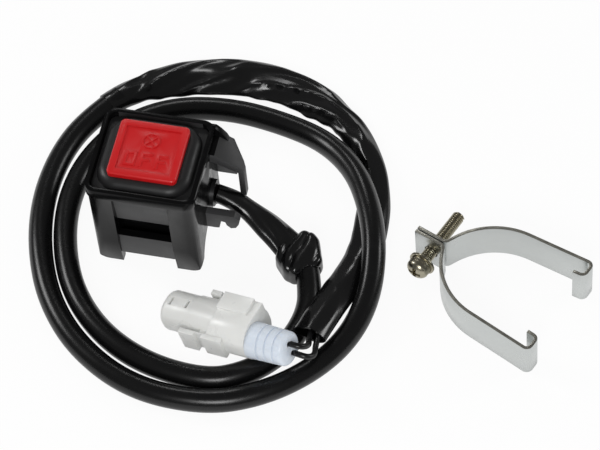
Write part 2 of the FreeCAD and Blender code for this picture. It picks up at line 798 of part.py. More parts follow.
def build_contact_board():
    """The insulating board on the floor of the well."""
    body = new_body("contact_board")
    clearance = "2 * fit_clearance"
    outline = new_sketch(body, "outline", "XY_Plane", "floor_level")
    add_rectangle(outline, f"chamber_width - {clearance}", f"well_depth - {clearance}")
    pad(body, "plate", outline, "board_thickness")
    holes = new_sketch(body, "holes", "XY_Plane", BOARD_TOP)
    for sign in ("", "-"):
        add_circle(holes, "small_screw_diameter", (f"{sign} board_screw_x", "0 - well_depth / 2 + 2.2"))
    pocket(body, "bores", holes, "board_thickness")
    return body


def build_fixed_contact(label, side, wire_y):
    """A contact strip with its contact button and the upright tab for its wire."""
    low = number(BOARD_TOP)
    thickness = size("contact_thickness")
    centre = side * size("contact_spacing") / 2
    inner = centre - side * 2.2
    outer = centre + side * 2.4
    left = min(inner, outer)
    right = max(inner, outer)
    near = -size("well_depth") / 2 + 4.6
    half_tab = size("wire_diameter") / 2 - 0.05
    strip = block(Vector(left, near, low), Vector(right, wire_y + half_tab, low + thickness))
    tab_high = size("outlet_level") + size("wire_diameter") / 2
    tab_left = left if side < 0 else right - thickness
    tab = block(
        Vector(tab_left, wire_y - half_tab, low),
        Vector(tab_left + thickness, wire_y + half_tab, tab_high),
    )
    point = cylinder(
        Vector(centre, 0, low), Vector(0, 0, 1), size("contact_button_diameter") / 2, 1.5 * thickness
    )
    return shape_feature(label, strip.multiFuse([tab, point]).removeSplitter())


def build_moving_contact():
    """The bridge on the plunger's stepped end, with a contact button at each end."""
    low = number(BRIDGE_BOTTOM)
    thickness = size("contact_thickness")
    half = size("bridge_length") / 2
    wide = size("bridge_width") / 2
    bridge = block(Vector(-half, -wide, low), Vector(half, wide, low + thickness))
    hole = cylinder(Vector(0, 0, low), Vector(0, 0, 1), size("stem_end_diameter") / 2, thickness)
    bridge = bridge.cut(hole)
    buttons = []
    for side in (-1, 1):
        centre = Vector(side * size("contact_spacing") / 2, 0, low - thickness / 2)
        buttons.append(cylinder(centre, Vector(0, 0, 1), size("contact_button_diameter") / 2, thickness))
    return shape_feature("moving_contact", bridge.multiFuse(buttons).removeSplitter())


def build_push_nut():
    """The push nut that holds the bridge on the stem."""
    thickness = size("contact_thickness") * 0.9
    low = number(BRIDGE_BOTTOM) - thickness
    ring = ring_shape(size("push_nut_diameter"), size("stem_end_diameter"), low, thickness)
    return shape_feature("contact_push_nut", ring)


# Lead


def build_grommet():
    """The rubber grommet in the right wall, round both wires."""
    start = size("chamber_width") / 2
    face = number(SIDE_FACE)
    middle = Vector(start, size("outlet_y"), size("outlet_level"))
    axis = Vector(1, 0, 0)
    neck = cylinder(middle, axis, size("outlet_bore") / 2 - 0.02, face - start)
    outer = Vector(face, middle.y, middle.z)
    flange = cylinder(outer, axis, size("grommet_flange_diameter") / 2, size("grommet_flange"))
    grommet = neck.fuse(flange).removeSplitter()
    for y in wire_rows():
        row = Vector(start, y, middle.z)
        grommet = grommet.cut(cylinder(row, axis, size("wire_diameter") / 2, face - start + 5))
    return shape_feature("outlet_grommet", grommet)


def wire_rows():
    """Where the two wires run across the housing: ground wire, then stop wire."""
    half = size("wire_spacing") / 2
    return (size("outlet_y") - half, size("outlet_y") + half)


def build_inner_wire(label, y, start):
    """A wire from its contact tab through the grommet to the sleeve."""
    end = number(SIDE_FACE) + size("grommet_flange")
    first = Vector(start, y, size("outlet_level"))
    wire = cylinder(first, Vector(1, 0, 0), size("wire_diameter") / 2, end - start)
    return shape_feature(label, wire)


def rounded_route(points):
    """Straight runs joined by tangent arcs as large as their runs allow, and the radii."""
    edges = []
    radii = []
    last = points[0]
    for index in range(1, len(points) - 1):
        before = points[index - 1] - points[index]
        after = points[index + 1] - points[index]
        turn = math.pi - before.getAngle(after)
        reach = 0.45 * min(before.Length, after.Length)
        radii.append(reach / math.tan(turn / 2))
        toward = Vector(before).normalize()
        onward = Vector(after).normalize()
        entry = points[index] + toward * reach
        leave = points[index] + onward * reach
        middle_way = Vector(toward + onward).normalize()
        depth = radii[-1] / math.cos(turn / 2) - radii[-1]
        edges.append(Part.makeLine(last, entry))
        edges.append(Part.Arc(entry, points[index] + middle_way * depth, leave).toShape())
        last = leave
    edges.append(Part.makeLine(last, points[-1]))
    return Part.Wire(edges), radii


def ellipse_across(place, direction, width, height):
    """A flattened section across a route, its wide way level."""
    across = Vector(direction).cross(Vector(0, 0, 1)).normalize()
    upward = across.cross(direction).normalize()
    major = place + across * width / 2
    minor = place + upward * height / 2
    return Part.Wire(Part.Ellipse(major, minor, place).toShape())


def sweep_route(label, points, widths, height):
    """A sleeve's solid along its route: round, or flattened to a height and to several widths."""
    path, radii = rounded_route(points)
    stations = [vertex.Point for vertex in path.OrderedVertexes]
    if height is None:
        direction = Vector(points[1] - points[0]).normalize()
        sections = [Part.Wire(Part.Circle(points[0], direction, widths[0] / 2).toShape())]
        area = math.pi * widths[0] ** 2 / 4
    else:
        runs = path.OrderedEdges
        sections = []
        for share, width in zip(section_shares(len(widths)), widths):
            index = round(share * (len(stations) - 1))
            run = runs[min(index, len(runs) - 1)]
            at = run.FirstParameter if index < len(runs) else run.LastParameter
            direction = Vector(run.tangentAt(at)).normalize()
            sections.append(ellipse_across(stations[index], direction, width, height))
        area = math.pi * sum(widths) / len(widths) * height / 4
    tube = path.makePipeShell(sections, True, False)
    share = tube.Volume / (area * path.Length)
    print(f"{label}: length {path.Length:.1f}, least radius {min(radii):.1f}, volume share {share:.3f}")
    print("  radii", " ".join(f"{radius:.0f}" for radius in radii))
    return tube


def section_shares(count):
    """Where a sleeve's sections stand, evenly from its first end to its last."""
    return [index / (count - 1) for index in range(count)] if count > 1 else [0.0]


LEAD_ROUTE = (
    (17.6, 4.6, 16.9),
    (22.6, 4.7, 14.9),
    (27.6, 3.4, 12.0),
    (32.0, 1.6, 9.8),
    (36.4, -0.6, 8.0),
    (40.8, -3.2, 6.2),
    (44.8, -6.0, 5.0),
)
MAIN_ROUTE = (
    (47.6, -8.0, 5.2),
    (50.2, -15.2, 4.2),
    (51.6, -23.6, 3.8),
    (49.4, -33.4, 3.8),
    (44.8, -42.0, 3.8),
    (37.2, -48.8, 3.8),
    (26.8, -52.9, 3.8),
    (8.1, -50.6, 3.8),
    (-7.7, -42.6, 3.8),
    (-19.6, -30.2, 3.8),
    (-26.8, -14.4, 3.8),
    (-29.8, 2.5, 3.8),
    (-27.6, 18.5, 3.8),
    (-19.4, 33.2, 3.8),
    (-5.4, 42.2, 3.8),
    (12.0, 44.8, 3.8),
    (29.0, 42.5, 3.8),
    (43.8, 37.3, 4.8),
    (55.2, 26.6, 8.2),
    (62.6, 13.4, 10.4),
    (67.6, -1.4, 10.2),
    (69.0, -17.0, 6.6),
    (65.4, -31.2, 4.1),
    (56.8, -44.2, 3.8),
    (44.2, -54.4, 3.8),
    (28.8, -60.5, 3.8),
    (6.6, -59.4, 3.8),
    (-12.3, -49.6, 3.8),
    (-26.0, -34.5, 3.8),
    (-34.3, -15.9, 3.8),
    (-37.6, 2.0, 3.8),
    (-36.6, 18.5, 3.8),
    (-31.4, 33.0, 3.8),
    (-23.6, 43.4, 3.8),
)
WIDE_ROUTE = (
    (-23.6, 43.4, 3.8),
    (-15.8, 49.4, 3.3),
    (-5.6, 54.7, 2.9),
    (7.5, 57.8, 2.9),
    (22.0, 57.9, 2.9),
    (33.4, 55.0, 2.9),
    (43.6, 49.8, 2.9),
    (51.8, 43.4, 2.9),
    (58.4, 33.6, 2.9),
    (62.6, 21.0, 2.9),
    (64.0, 8.5, 2.9),
    (63.6, -1.4, 3.0),
    (61.4, -9.8, 3.8),
    (59.2, -17.8, 5.8),
    (57.3, -26.0, 8.7),
    (54.9, -35.6, 10.2),
)
GROUND_WIRE_ROUTE = (
    (58.6, -44.6, 12.6),
    (57.2, -38.0, 10.9),
    (57.9, -28.6, 9.1),
)
STOP_WIRE_ROUTE = (
    (56.8, -43.4, 16.4),
    (54.9, -37.2, 11.1),
    (55.5, -28.1, 9.1),
)
WRAP_OUTLINE = (
    (37.4, -4.6),
    (38.2, -9.2),
    (41.8, -13.4),
    (45.0, -14.6),
    (51.8, -10.6),
    (52.6, -7.4),
    (50.2, -0.4),
    (46.8, 2.6),
    (43.8, 1.4),
)


def lead_sleeve_shape():
    """The thin sleeve at the housing, spreading towards its taped fold."""
    start = size("lead_sleeve_diameter")
    spread = size("lead_sleeve_spread")
    widths = [start, start + (spread - start) * 0.45, spread, spread]
    return sweep_route("lead_sleeve", vectors(LEAD_ROUTE), widths, start)


def main_sleeve_shape():
    """The long round sleeve: one full turn and most of a second one."""
    return sweep_route("main_sleeve", vectors(MAIN_ROUTE), [size("main_sleeve_diameter")], None)


def wide_sleeve_shape():
    """The wide flat sleeve over the end of the lead, hollow at its cut mouth."""
    widths = [
        size("wide_sleeve_start"),
        size("wide_sleeve_width"),
        size("wide_sleeve_waist"),
        size("wide_sleeve_mouth"),
        size("wide_sleeve_mouth"),
    ]
    height = size("wide_sleeve_height")
    points = vectors(WIDE_ROUTE)
    sleeve = sweep_route("wide_sleeve", points, widths, height)
    back = Vector(points[-2] - points[-1]).normalize()
    wall = 2 * size("wide_sleeve_wall")
    mouth = ellipse_across(points[-1], back, size("wide_sleeve_mouth") - wall, height - wall)
    return sleeve.cut(Part.Face(mouth).extrude(back * size("wide_sleeve_hollow")))


def end_wire_shape(label, level, route):
    """A bare wire from its terminal through the connector's boot into the sleeve's mouth."""
    pose = connector_placement()
    leave = size("connector_length") + size("boot_sleeve_length") + size("wire_exit")
    start = Vector(size("terminal_back"), 0, level)
    out = Vector(leave, -size("boot_sleeve_shift"), level)
    points = [pose.multVec(start), pose.multVec(out), *vectors(route)]
    print(f"{label} starts", [[round(value, 2) for value in point] for point in points[:2]])
    return sweep_route(label, points, [size("wire_diameter")], None)


def build_tape_wrap(sleeves):
    """The taped fold of the sleeve, a soft lump round the lead's two sleeves."""
    low = 0.3
    corners = [Vector(x, y, low) for x, y in WRAP_OUTLINE]
    outline = Part.Face(Part.makePolygon([*corners, corners[0]]))
    lump = outline.extrude(Vector(0, 0, size("wrap_height") - low))
    lump = lump.makeFillet(size("wrap_rounding"), lump.Edges)
    return shape_feature("tape_wrap", lump.cut(sleeves))


# Connector


def connector_placement():
    """The connector lies with its nose on the ground and its boot on the lead."""
    turn = Rotation(Vector(0, 0, 1), size("connector_turn"))
    tilt = Rotation(Vector(0, 1, 0), size("connector_tilt"))
    place = Vector(size("connector_x"), size("connector_y"), size("connector_z"))
    return Placement(place, turn.multiply(tilt))


def rounded_bar(start, length, width, height, radius):
    """A bar along X with its four long edges rounded."""
    bar = block(Vector(start, -width / 2, -height / 2), Vector(start + length, width / 2, height / 2))
    long_edges = [edge for edge in bar.Edges if abs(edge.Length - length) < 1e-6 and edge_along_x(edge)]
    return bar.makeFillet(radius, long_edges)


def edge_along_x(edge):
    ends = [vertex.Point for vertex in edge.Vertexes]
    return abs(ends[0].y - ends[1].y) < 1e-9 and abs(ends[0].z - ends[1].z) < 1e-9


def build_connector_housing():
    """The white two-pole housing: round nose, slanted shell, side wings and latch."""
    end = size("connector_length")
    nose_length = size("connector_nose_length")
    height = size("connector_nose_height")
    nose = rounded_bar(0, nose_length + 1, size("connector_nose_width"), height, height * 0.46)
    front_edges = [edge for edge in nose.Edges if edge.BoundBox.XMax < 1e-6]
    nose = nose.makeFillet(size("nose_rounding"), front_edges)
    neck_height = size("connector_neck_height")
    neck = rounded_bar(
        nose_length, end - nose_length, size("connector_neck_width"), neck_height, neck_height * 0.46
    )
    solids = [neck, connector_shell(end), connector_latch(end)]
    solids.extend(connector_wing(side) for side in (-1, 1))
    housing = nose.multiFuse(solids).removeSplitter()
    cavities = [nose_window(at, row) for at, row in ((2.6, -0.4), (8.2, -0.2))]
    cavities.extend(terminal_cavity(z, end) for z in terminal_levels())
    cavities.append(boot_spigot_shape())
    feature = shape_feature("connector_housing", housing.cut(cavities))
    feature.Placement = connector_placement()
    return feature


def boot_centre(along):
    """A point on the boot's own axis, in the connector's frame."""
    return Vector(along, -size("boot_sleeve_shift"), 0)


def boot_spigot_shape():
    """The boot's neck inside the housing."""
    depth = size("boot_spigot")
    radius = size("boot_spigot_diameter") / 2
    return cylinder(boot_centre(size("connector_length") - depth), Vector(1, 0, 0), radius, depth)


def connector_shell(end):
    """The larger shell behind the neck, with its mouth cut on a slant."""
    start = size("connector_shell_at")
    slant = size("connector_shell_slant")
    height = size("connector_shell_height")
    shell = rounded_bar(start, end - start, size("connector_shell_width"), height, height * 0.44)
    shell.translate(Vector(0, -size("connector_shell_shift"), 0))
    top = height / 2
    profile = [
        Vector(start - 1, -20, top + 1),
        Vector(start + slant, -20, top + 1),
        Vector(start, -20, -top - 1),
        Vector(start - 1, -20, -top - 1),
    ]
    wedge = Part.Face(Part.makePolygon([*profile, profile[0]])).extrude(Vector(0, 40, 0))
    return shell.cut(wedge)


def connector_wing(side):
    """A notched guide wing on one side of the shell."""
    outer = size("wing_span") / 2 - (1.0 if side > 0 else 0.0)
    start = size("wing_at") + (3.0 if side > 0 else 0.0)
    length = size("wing_length") - (3.8 if side > 0 else 0.0)
    half = size("wing_height") / 2
    plate = block(
        Vector(start, outer - size("wing_thickness"), -half), Vector(start + length, outer, half)
    )
    web = block(
        Vector(size("connector_shell_at") + 0.6, 4.0, -half * 0.7),
        Vector(start + length, outer - 0.5, half * 0.7),
    )
    middle = start + length * 0.44
    notch = block(
        Vector(middle - size("wing_notch") / 2, outer - size("wing_thickness") * 0.9, -half - 1),
        Vector(middle + size("wing_notch") / 2, outer + 1, half + 1),
    )
    wing = plate.fuse(web).cut(notch)
    return wing if side > 0 else wing.mirror(Vector(0, 0, 0), Vector(0, 1, 0))


def connector_latch(end):
    """The latch on top of the shell, one step lower at its back end."""
    low = size("latch_bottom")
    start = end - size("latch_length")
    inner = size("latch_inner")
    outer = inner + size("latch_width")
    top = size("latch_height")
    bar = block(Vector(start, inner, low), Vector(end - size("latch_step_length"), outer, top))
    step = block(Vector(start + 1, inner, low), Vector(end, outer, top - size("latch_step")))
    return bar.fuse(step)


def nose_window(at, row):
    """A terminal's sight slit in the upper side of the nose."""
    half = size("window_width") / 2
    return block(
        Vector(at, row - half, size("connector_nose_height") / 2 - 2.4),
        Vector(at + size("window_length"), row + half, size("connector_nose_height")),
    )


def terminal_levels():
    """Heights of the lower and upper terminal above the connector's own axis."""
    half = size("terminal_pitch") / 2
    return (-half, half)


def terminal_cavity(z, end):
    """A terminal's cavity, open at the nose, and the wire's way behind it."""
    wide = size("terminal_width") / 2 + size("fit_clearance")
    return block(Vector(-1, -wide, z - wide), Vector(end, wide, z + wide))


def build_connector_terminals():
    """The two crimped terminals in their cavities."""
    back = size("terminal_back")
    wide = size("terminal_width") / 2
    thick = size("terminal_thickness") / 2
    bars = []
    for z in terminal_levels():
        start = Vector(back - size("terminal_length"), -wide, z - thick)
        bars.append(block(start, Vector(back, wide, z + thick)))
    feature = shape_feature("connector_terminals", Part.makeCompound(bars))
    feature.Placement = connector_placement()
    return feature


def build_connector_boot(wires):
    """The translucent ringed boot behind the connector, tapered towards the lead."""
    start = size("connector_length")
    length = size("boot_sleeve_length")
    root = size("boot_sleeve_root") / 2
    tip = size("boot_sleeve_end") / 2
    axis = Vector(1, 0, 0)
    body = Part.makeCone(root, tip, length, boot_centre(start), axis)
    body = body.fuse(boot_spigot_shape())
    for share in (0.3, 0.52, 0.74):
        at = boot_centre(start + length * share)
        radius = root + (tip - root) * share
        band = cylinder(at, axis, radius + 1, 0.7)
        body = body.cut(band.cut(cylinder(at, axis, radius - size("boot_ring_depth"), 0.7)))
    end_edges = [edge for edge in body.Edges if abs(edge.BoundBox.XMin - start - length) < 1e-6]
    body = body.makeFillet(1.2, end_edges)
    body.Placement = connector_placement()
    return shape_feature("connector_boot", body.cut(wires))


# Clamp


def clamp_placement():
    """The clamp stands on its edges beside the switch, as it comes off the handlebar."""
    place = Vector(size("clamp_x"), size("clamp_y"), 0)
    return Placement(place, Rotation(Vector(0, 0, 1), size("clamp_turn")))


def offset_corners(points, shift):
    """An open polyline moved sideways by a distance, with mitred corners."""
    moved = []
    for index, point in enumerate(points):
        normals = []
        if index > 0:
            normals.append(left_of(points[index - 1], point))
        if index < len(points) - 1:
            normals.append(left_of(point, points[index + 1]))
        middle = Vector(0, 0, 0)
        for normal in normals:
            middle = middle + normal
        middle.normalize()
        moved.append(point + middle * (shift / middle.dot(normals[0])))
    return moved


def left_of(start, end):
    """The unit vector to the left of a run in the XY plane."""
    along = Vector(end - start).normalize()
    return Vector(-along.y, along.x, 0)


def rounded_polyline(points, radii):
    """Edges of an open polyline whose inner corners have the given radii."""
    edges = []
    last = points[0]
    for index, radius in enumerate(radii, start=1):
        toward = Vector(points[index - 1] - points[index]).normalize()
        onward = Vector(points[index + 1] - points[index]).normalize()
        half = (math.pi - toward.getAngle(onward)) / 2
        reach = radius * math.tan(half)
        entry = points[index] + toward * reach
        leave = points[index] + onward * reach
        inward = Vector(toward + onward).normalize()
        middle = points[index] + inward * (radius / math.cos(half) - radius)
        edges.append(Part.makeLine(last, entry))
        edges.append(Part.Arc(entry, middle, leave).toShape())
        last = leave
    edges.append(Part.makeLine(last, points[-1]))
    return edges


def strip_shape(side):
    """One bent strip in the clamp's own frame: lug, bow, straight and hook."""
    thickness = size("strip_thickness")
    middle = size("clamp_span") / 2 - thickness / 2
    lug = size("lug_gap") / 2 + thickness / 2
    rise = math.radians(size("strip_rise"))
    splay = math.tan(math.radians(size("strip_splay")))
    hook_x = size("clamp_reach") - thickness / 2
    hook_y = middle - size("hook_leg") + thickness
    level = middle - (hook_x - size("lug_head")) * splay
    climb = (level - lug) / (math.sin(rise) - splay * math.cos(rise))
    points = [
        Vector(-size("lug_tail"), lug, 0),
        Vector(size("lug_head"), lug, 0),
        Vector(size("lug_head") + climb * math.cos(rise), lug + climb * math.sin(rise), 0),
        Vector(hook_x, middle, 0),
        Vector(hook_x, hook_y, 0),
        Vector(hook_x - size("hook_tab") + thickness / 2, hook_y - 0.3, 0),
    ]
    points = [Vector(point.x, side * point.y, 0) for point in points]
    bend = size("bend_radius")
    radii = (bend, size("strip_bow"), bend, bend)
    turns = (1, -1, -1, -1)
    outlines = []
    for shift in (thickness / 2, -thickness / 2):
        moved = offset_corners(points, side * shift)
        inner = [radius - turn * shift for radius, turn in zip(radii, turns)]
        outlines.append(rounded_polyline(moved, inner))
    first, second = outlines
    caps = [
        Part.makeLine(first[0].Vertexes[0].Point, second[0].Vertexes[0].Point),
        Part.makeLine(first[-1].Vertexes[-1].Point, second[-1].Vertexes[-1].Point),
    ]
    wire = Part.Wire(Part.__sortEdges__([*first, *second, *caps]))
    return Part.Face(wire).extrude(Vector(0, 0, size("strip_width")))


def build_strip(label, side, hole):
    """A clamp strip with the screw's hole in its lug."""
    level = size("strip_width") / 2
    bore = cylinder(Vector(0, -6, level), Vector(0, 1, 0), hole / 2, 12)
    feature = shape_feature(label, strip_shape(side).cut(bore))
    feature.Placement = clamp_placement()
    return feature


def clamp_axis_placement(distance):
    """The screw's own frame: +Z along the screw towards its head, at a distance in front."""
    local = Placement(
        Vector(0, -distance, size("strip_width") / 2), Rotation(Vector(1, 0, 0), 90)
    )
    return clamp_placement().multiply(local)


def front_lug_face():
    """How far in front of the clamp's middle plane the front lug's outer face lies."""
    return size("lug_gap") / 2 + size("strip_thickness")


def build_clamp_hardware():
    """The clamp's screw with its spring washer and flat washer, backed off by the gap."""
    washer_face = front_lug_face() + size("screw_gap")
    hole = size("screw_diameter") + 2 * size("running_clearance")
    flat = shape_feature(
        "flat_washer", ring_shape(size("washer_diameter"), hole, 0, size("washer_thickness"))
    )
    flat.Placement = clamp_axis_placement(washer_face)
    height = size("spring_washer_height")
    split = ring_shape(size("spring_washer_diameter"), hole, 0, height)
    slit = block(Vector(0, -0.35, -1), Vector(size("spring_washer_diameter"), 0.35, height + 1))
    slit.Placement = Placement(Vector(0, 0, 0), Rotation(Vector(1, 0, 0), 20))
    spring = shape_feature("spring_washer", split.cut(slit))
    spring.Placement = clamp_axis_placement(washer_face + size("washer_thickness"))
    screw = shape_feature(
        "clamp_screw",
        pan_screw(
            size("screw_head_diameter"),
            size("screw_head_height"),
            size("screw_diameter"),
            size("screw_under_head"),
        ),
    )
    screw.Placement = clamp_axis_placement(washer_face + size("washer_thickness") + height)
    return [flat, spring, screw]


def vectors(points):
    return [Vector(*point) for point in points]


def build_everything():
    """Every sub-part of the switch, in the order in which it goes together."""
    ground_y, stop_y = wire_rows()
    contact_x = size("contact_spacing") / 2 + 2.4 - size("contact_thickness")
    board_places = [
        (sign * size("board_screw_x"), -size("well_depth") / 2 + 2.2) for sign in (1, -1)
    ]
    guide_places = [(sign * size("guide_screw_x"), sign * size("guide_screw_y")) for sign in (1, -1)]
    clearance_hole = size("screw_diameter") + 2 * size("screw_clearance")
    tapped_hole = size("screw_diameter") + 2 * size("running_clearance")
    lead = lead_sleeve_shape()
    main = main_sleeve_shape()
    lower, upper = terminal_levels()
    ground_wire = end_wire_shape("ground_wire_connector_end", lower, GROUND_WIRE_ROUTE)
    stop_wire = end_wire_shape("stop_wire_connector_end", upper, STOP_WIRE_ROUTE)
    return [
        build_housing(),
        build_contact_board(),
        build_small_screws("board_screws", board_places, number(BOARD_TOP), size("board_screw_length")),
        build_fixed_contact("fixed_contact_left", -1, stop_y),
        build_fixed_contact("fixed_contact_right", 1, ground_y),
        build_guide_plate(),
        build_small_screws("guide_screws", guide_places, number(GUIDE_TOP), size("small_screw_length")),
        build_plunger(),
        build_plunger_clip(),
        build_return_spring(),
        build_moving_contact(),
        build_push_nut(),
        build_boot(),
        build_button(),
        build_grommet(),
        build_inner_wire("stop_wire_switch_end", stop_y, -contact_x),
        build_inner_wire("ground_wire_switch_end", ground_y, contact_x + size("contact_thickness")),
        shape_feature("lead_sleeve", lead),
        build_tape_wrap([lead, main]),
        shape_feature("main_sleeve", main),
        shape_feature("wide_sleeve", wide_sleeve_shape()),
        shape_feature("ground_wire_connector_end", ground_wire),
        shape_feature("stop_wire_connector_end", stop_wire),
        build_connector_housing(),
        build_connector_terminals(),
        build_connector_boot([ground_wire, stop_wire]),
        build_strip("clamp_strip_front", -1, clearance_hole),
        build_strip("clamp_strip_rear", 1, tapped_hole),
        *build_clamp_hardware(),
    ]


def check_and_export(parts):
    """Stops at a failed object or a bad shape, then writes one file for each sub-part."""
    document.recompute()
    for item in document.Objects:
        if "Invalid" in item.State or "Error" in item.State:
            raise RuntimeError(f"{item.Name} failed: {item.State}")
    for item in parts:
        if item.Shape.isNull() or not item.Shape.isValid() or not item.Shape.Solids:
            raise RuntimeError(f"{item.Label} has no valid solid")
    os.makedirs("parts", exist_ok=True)
    for item in parts:
        item.Shape.exportStep(f"parts/{item.Label}.step")


check_and_export(build_everything())
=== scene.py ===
"""Dresses the handlebar kill switch: finishes, sleeves, connector, clamp, light and camera.

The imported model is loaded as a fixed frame, in metres. Each sub-assembly is a class that
builds its own pieces round the frame's nodes and gives them their finishes.
"""

import json
import logging
import math
from contextlib import contextmanager
from dataclasses import dataclass
from enum import Enum
from typing import Callable, Iterator

import bpy
from mathutils import Matrix, Vector, noise

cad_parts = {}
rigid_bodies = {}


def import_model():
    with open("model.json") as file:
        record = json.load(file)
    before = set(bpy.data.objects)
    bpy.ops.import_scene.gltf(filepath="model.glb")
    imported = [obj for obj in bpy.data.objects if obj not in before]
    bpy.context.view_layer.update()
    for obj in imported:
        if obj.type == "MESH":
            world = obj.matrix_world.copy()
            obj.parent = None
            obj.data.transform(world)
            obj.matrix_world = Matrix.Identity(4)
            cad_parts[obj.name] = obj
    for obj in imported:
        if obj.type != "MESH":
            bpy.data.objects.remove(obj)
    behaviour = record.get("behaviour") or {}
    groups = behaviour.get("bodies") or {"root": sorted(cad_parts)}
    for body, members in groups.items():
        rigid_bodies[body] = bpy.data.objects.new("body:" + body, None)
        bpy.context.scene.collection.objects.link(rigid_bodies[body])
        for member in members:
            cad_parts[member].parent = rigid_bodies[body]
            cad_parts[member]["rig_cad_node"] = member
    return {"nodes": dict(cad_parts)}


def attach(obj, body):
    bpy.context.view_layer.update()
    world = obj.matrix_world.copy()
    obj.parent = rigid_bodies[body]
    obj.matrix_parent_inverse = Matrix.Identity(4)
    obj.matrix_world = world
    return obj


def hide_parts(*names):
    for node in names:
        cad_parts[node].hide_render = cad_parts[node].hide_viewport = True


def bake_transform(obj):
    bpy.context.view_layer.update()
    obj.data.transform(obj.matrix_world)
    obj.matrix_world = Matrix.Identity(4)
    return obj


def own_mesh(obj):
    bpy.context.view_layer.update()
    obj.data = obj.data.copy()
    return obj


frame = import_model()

LOG = logging.getLogger("kill_switch")
MM = 0.001
MERGE_DISTANCE = 0.002
FLAT_ANGLE = 0.6
SHARP_ANGLE = 35.0
TUBE_ANGLE = 60.0
THREAD_ANGLE = 30.0
POLISH_FINENESS = 2.7
SCATTER_RADII = (1.0, 0.95, 0.9)
SCATTER_DEPTH = 2.2
Point = tuple[float, float, float]
Table = tuple[tuple[float, float], ...]
SectionShape = Callable[[float, float], tuple[float, float]]


class Body(Enum):
    """The rigid groups of the frame that a piece can ride on."""

    HOUSING = "housing"
    BUTTON = "button"
    WASHERS = "clamp_washers"
    SCREW = "clamp_screw"


class Group(Enum):
    """Shader groups that several finishes share."""

    SURFACE = "surface_texture"
    SCUFFS = "light_scuffs"


def new_group(kind: Group, inputs: dict[str, float], outputs: tuple[str, ...]) -> bpy.types.NodeTree:
    """Starts a shader group with its named sockets.

    Args:
        kind: which group it is.
        inputs: socket names with their default values.
        outputs: names of the value sockets that come out.

    Returns:
        The new node tree, with its input and output nodes in place.
    """
    tree = bpy.data.node_groups.new(kind.value, "ShaderNodeTree")
    for name, value in inputs.items():
        socket = tree.interface.new_socket(name, in_out="INPUT", socket_type="NodeSocketFloat")
        socket.default_value = value
    for name in outputs:
        tree.interface.new_socket(name, in_out="OUTPUT", socket_type="NodeSocketFloat")
    tree.nodes.new("NodeGroupInput").name = "ins"
    tree.nodes.new("NodeGroupOutput").name = "outs"
    return tree


def feed(tree: bpy.types.NodeTree, node: bpy.types.Node, inputs: dict) -> None:
    """Links or sets some inputs of a node.

    Args:
        tree: the node's tree.
        node: the node.
        inputs: by socket name or place, an output to link or a plain value.
    """
    for socket, value in inputs.items():
        if isinstance(value, bpy.types.NodeSocket):
            tree.links.new(value, node.inputs[socket])
        else:
            node.inputs[socket].default_value = value


def add_node(tree: bpy.types.NodeTree, kind: str, inputs: dict, **settings: object) -> bpy.types.Node:
    """Adds a node to a tree.

    Args:
        tree: the tree.
        kind: the node's type.
        inputs: what its inputs get, as in feed.
        settings: its settings by name.

    Returns:
        The new node.
    """
    node = tree.nodes.new(kind)
    for setting, value in settings.items():
        setattr(node, setting, value)
    feed(tree, node, inputs)
    return node


def surface_group() -> bpy.types.NodeTree:
    """The moulded or drawn surface: fine grain, slow tone changes and a polish map.

    Returns:
        The shader group, built once and then found by its name.
    """
    found = bpy.data.node_groups.get(Group.SURFACE.value)
    if found:
        return found
    sizes = {"Grain Scale": 900.0, "Tone Scale": 60.0, "Stretch X": 1.0, "Stretch Z": 1.0}
    tree = new_group(Group.SURFACE, sizes, ("Grain", "Tone", "Polish"))
    ins, outs = tree.nodes["ins"].outputs, tree.nodes["outs"]
    coords = add_node(tree, "ShaderNodeTexCoord", {})
    drawn_out = {"X": ins["Stretch X"], "Y": 1.0, "Z": ins["Stretch Z"]}
    stretch = add_node(tree, "ShaderNodeCombineXYZ", drawn_out)
    placed = {"Vector": coords.outputs["Object"], "Scale": stretch.outputs["Vector"]}
    spot = add_node(tree, "ShaderNodeMapping", placed).outputs["Vector"]
    wider = {0: ins["Tone Scale"], 1: POLISH_FINENESS}
    polish = add_node(tree, "ShaderNodeMath", wider, operation="MULTIPLY").outputs[0]
    for socket, scale, detail, distortion in (
        ("Grain", ins["Grain Scale"], 3.0, 0.0),
        ("Tone", ins["Tone Scale"], 2.0, 0.0),
        ("Polish", polish, 4.0, 0.6),
    ):
        pattern = {"Vector": spot, "Scale": scale, "Detail": detail, "Distortion": distortion}
        texture = add_node(tree, "ShaderNodeTexNoise", pattern)
        feed(tree, outs, {socket: texture.outputs["Fac"]})
    return tree


def scuff_group() -> bpy.types.NodeTree:
    """Sparse fine scratches, as a mask that lightens a surface.

    Returns:
        The shader group, built once and then found by its name.
    """
    found = bpy.data.node_groups.get(Group.SCUFFS.value)
    if found:
        return found
    tree = new_group(Group.SCUFFS, {"Scale": 160.0, "Amount": 0.3}, ("Mask",))
    ins = tree.nodes["ins"].outputs
    coords = add_node(tree, "ShaderNodeTexCoord", {})
    slanted = {"Vector": coords.outputs["Object"], "Rotation": (0.3, 0.5, 0.7), "Scale": (0.12, 1.0, 1.0)}
    turn = add_node(tree, "ShaderNodeMapping", slanted)
    streaky = {"Vector": turn.outputs["Vector"], "Scale": ins["Scale"], "Detail": 6.0}
    streaks = add_node(tree, "ShaderNodeTexNoise", streaky)
    sparse = {"Value": streaks.outputs["Fac"], "From Min": 0.62, "From Max": 0.78}
    ramp = add_node(tree, "ShaderNodeMapRange", sparse)
    gained = {0: ramp.outputs["Result"], 1: ins["Amount"]}
    gain = add_node(tree, "ShaderNodeMath", gained, operation="MULTIPLY")
    feed(tree, tree.nodes["outs"], {"Mask": gain.outputs[0]})
    return tree


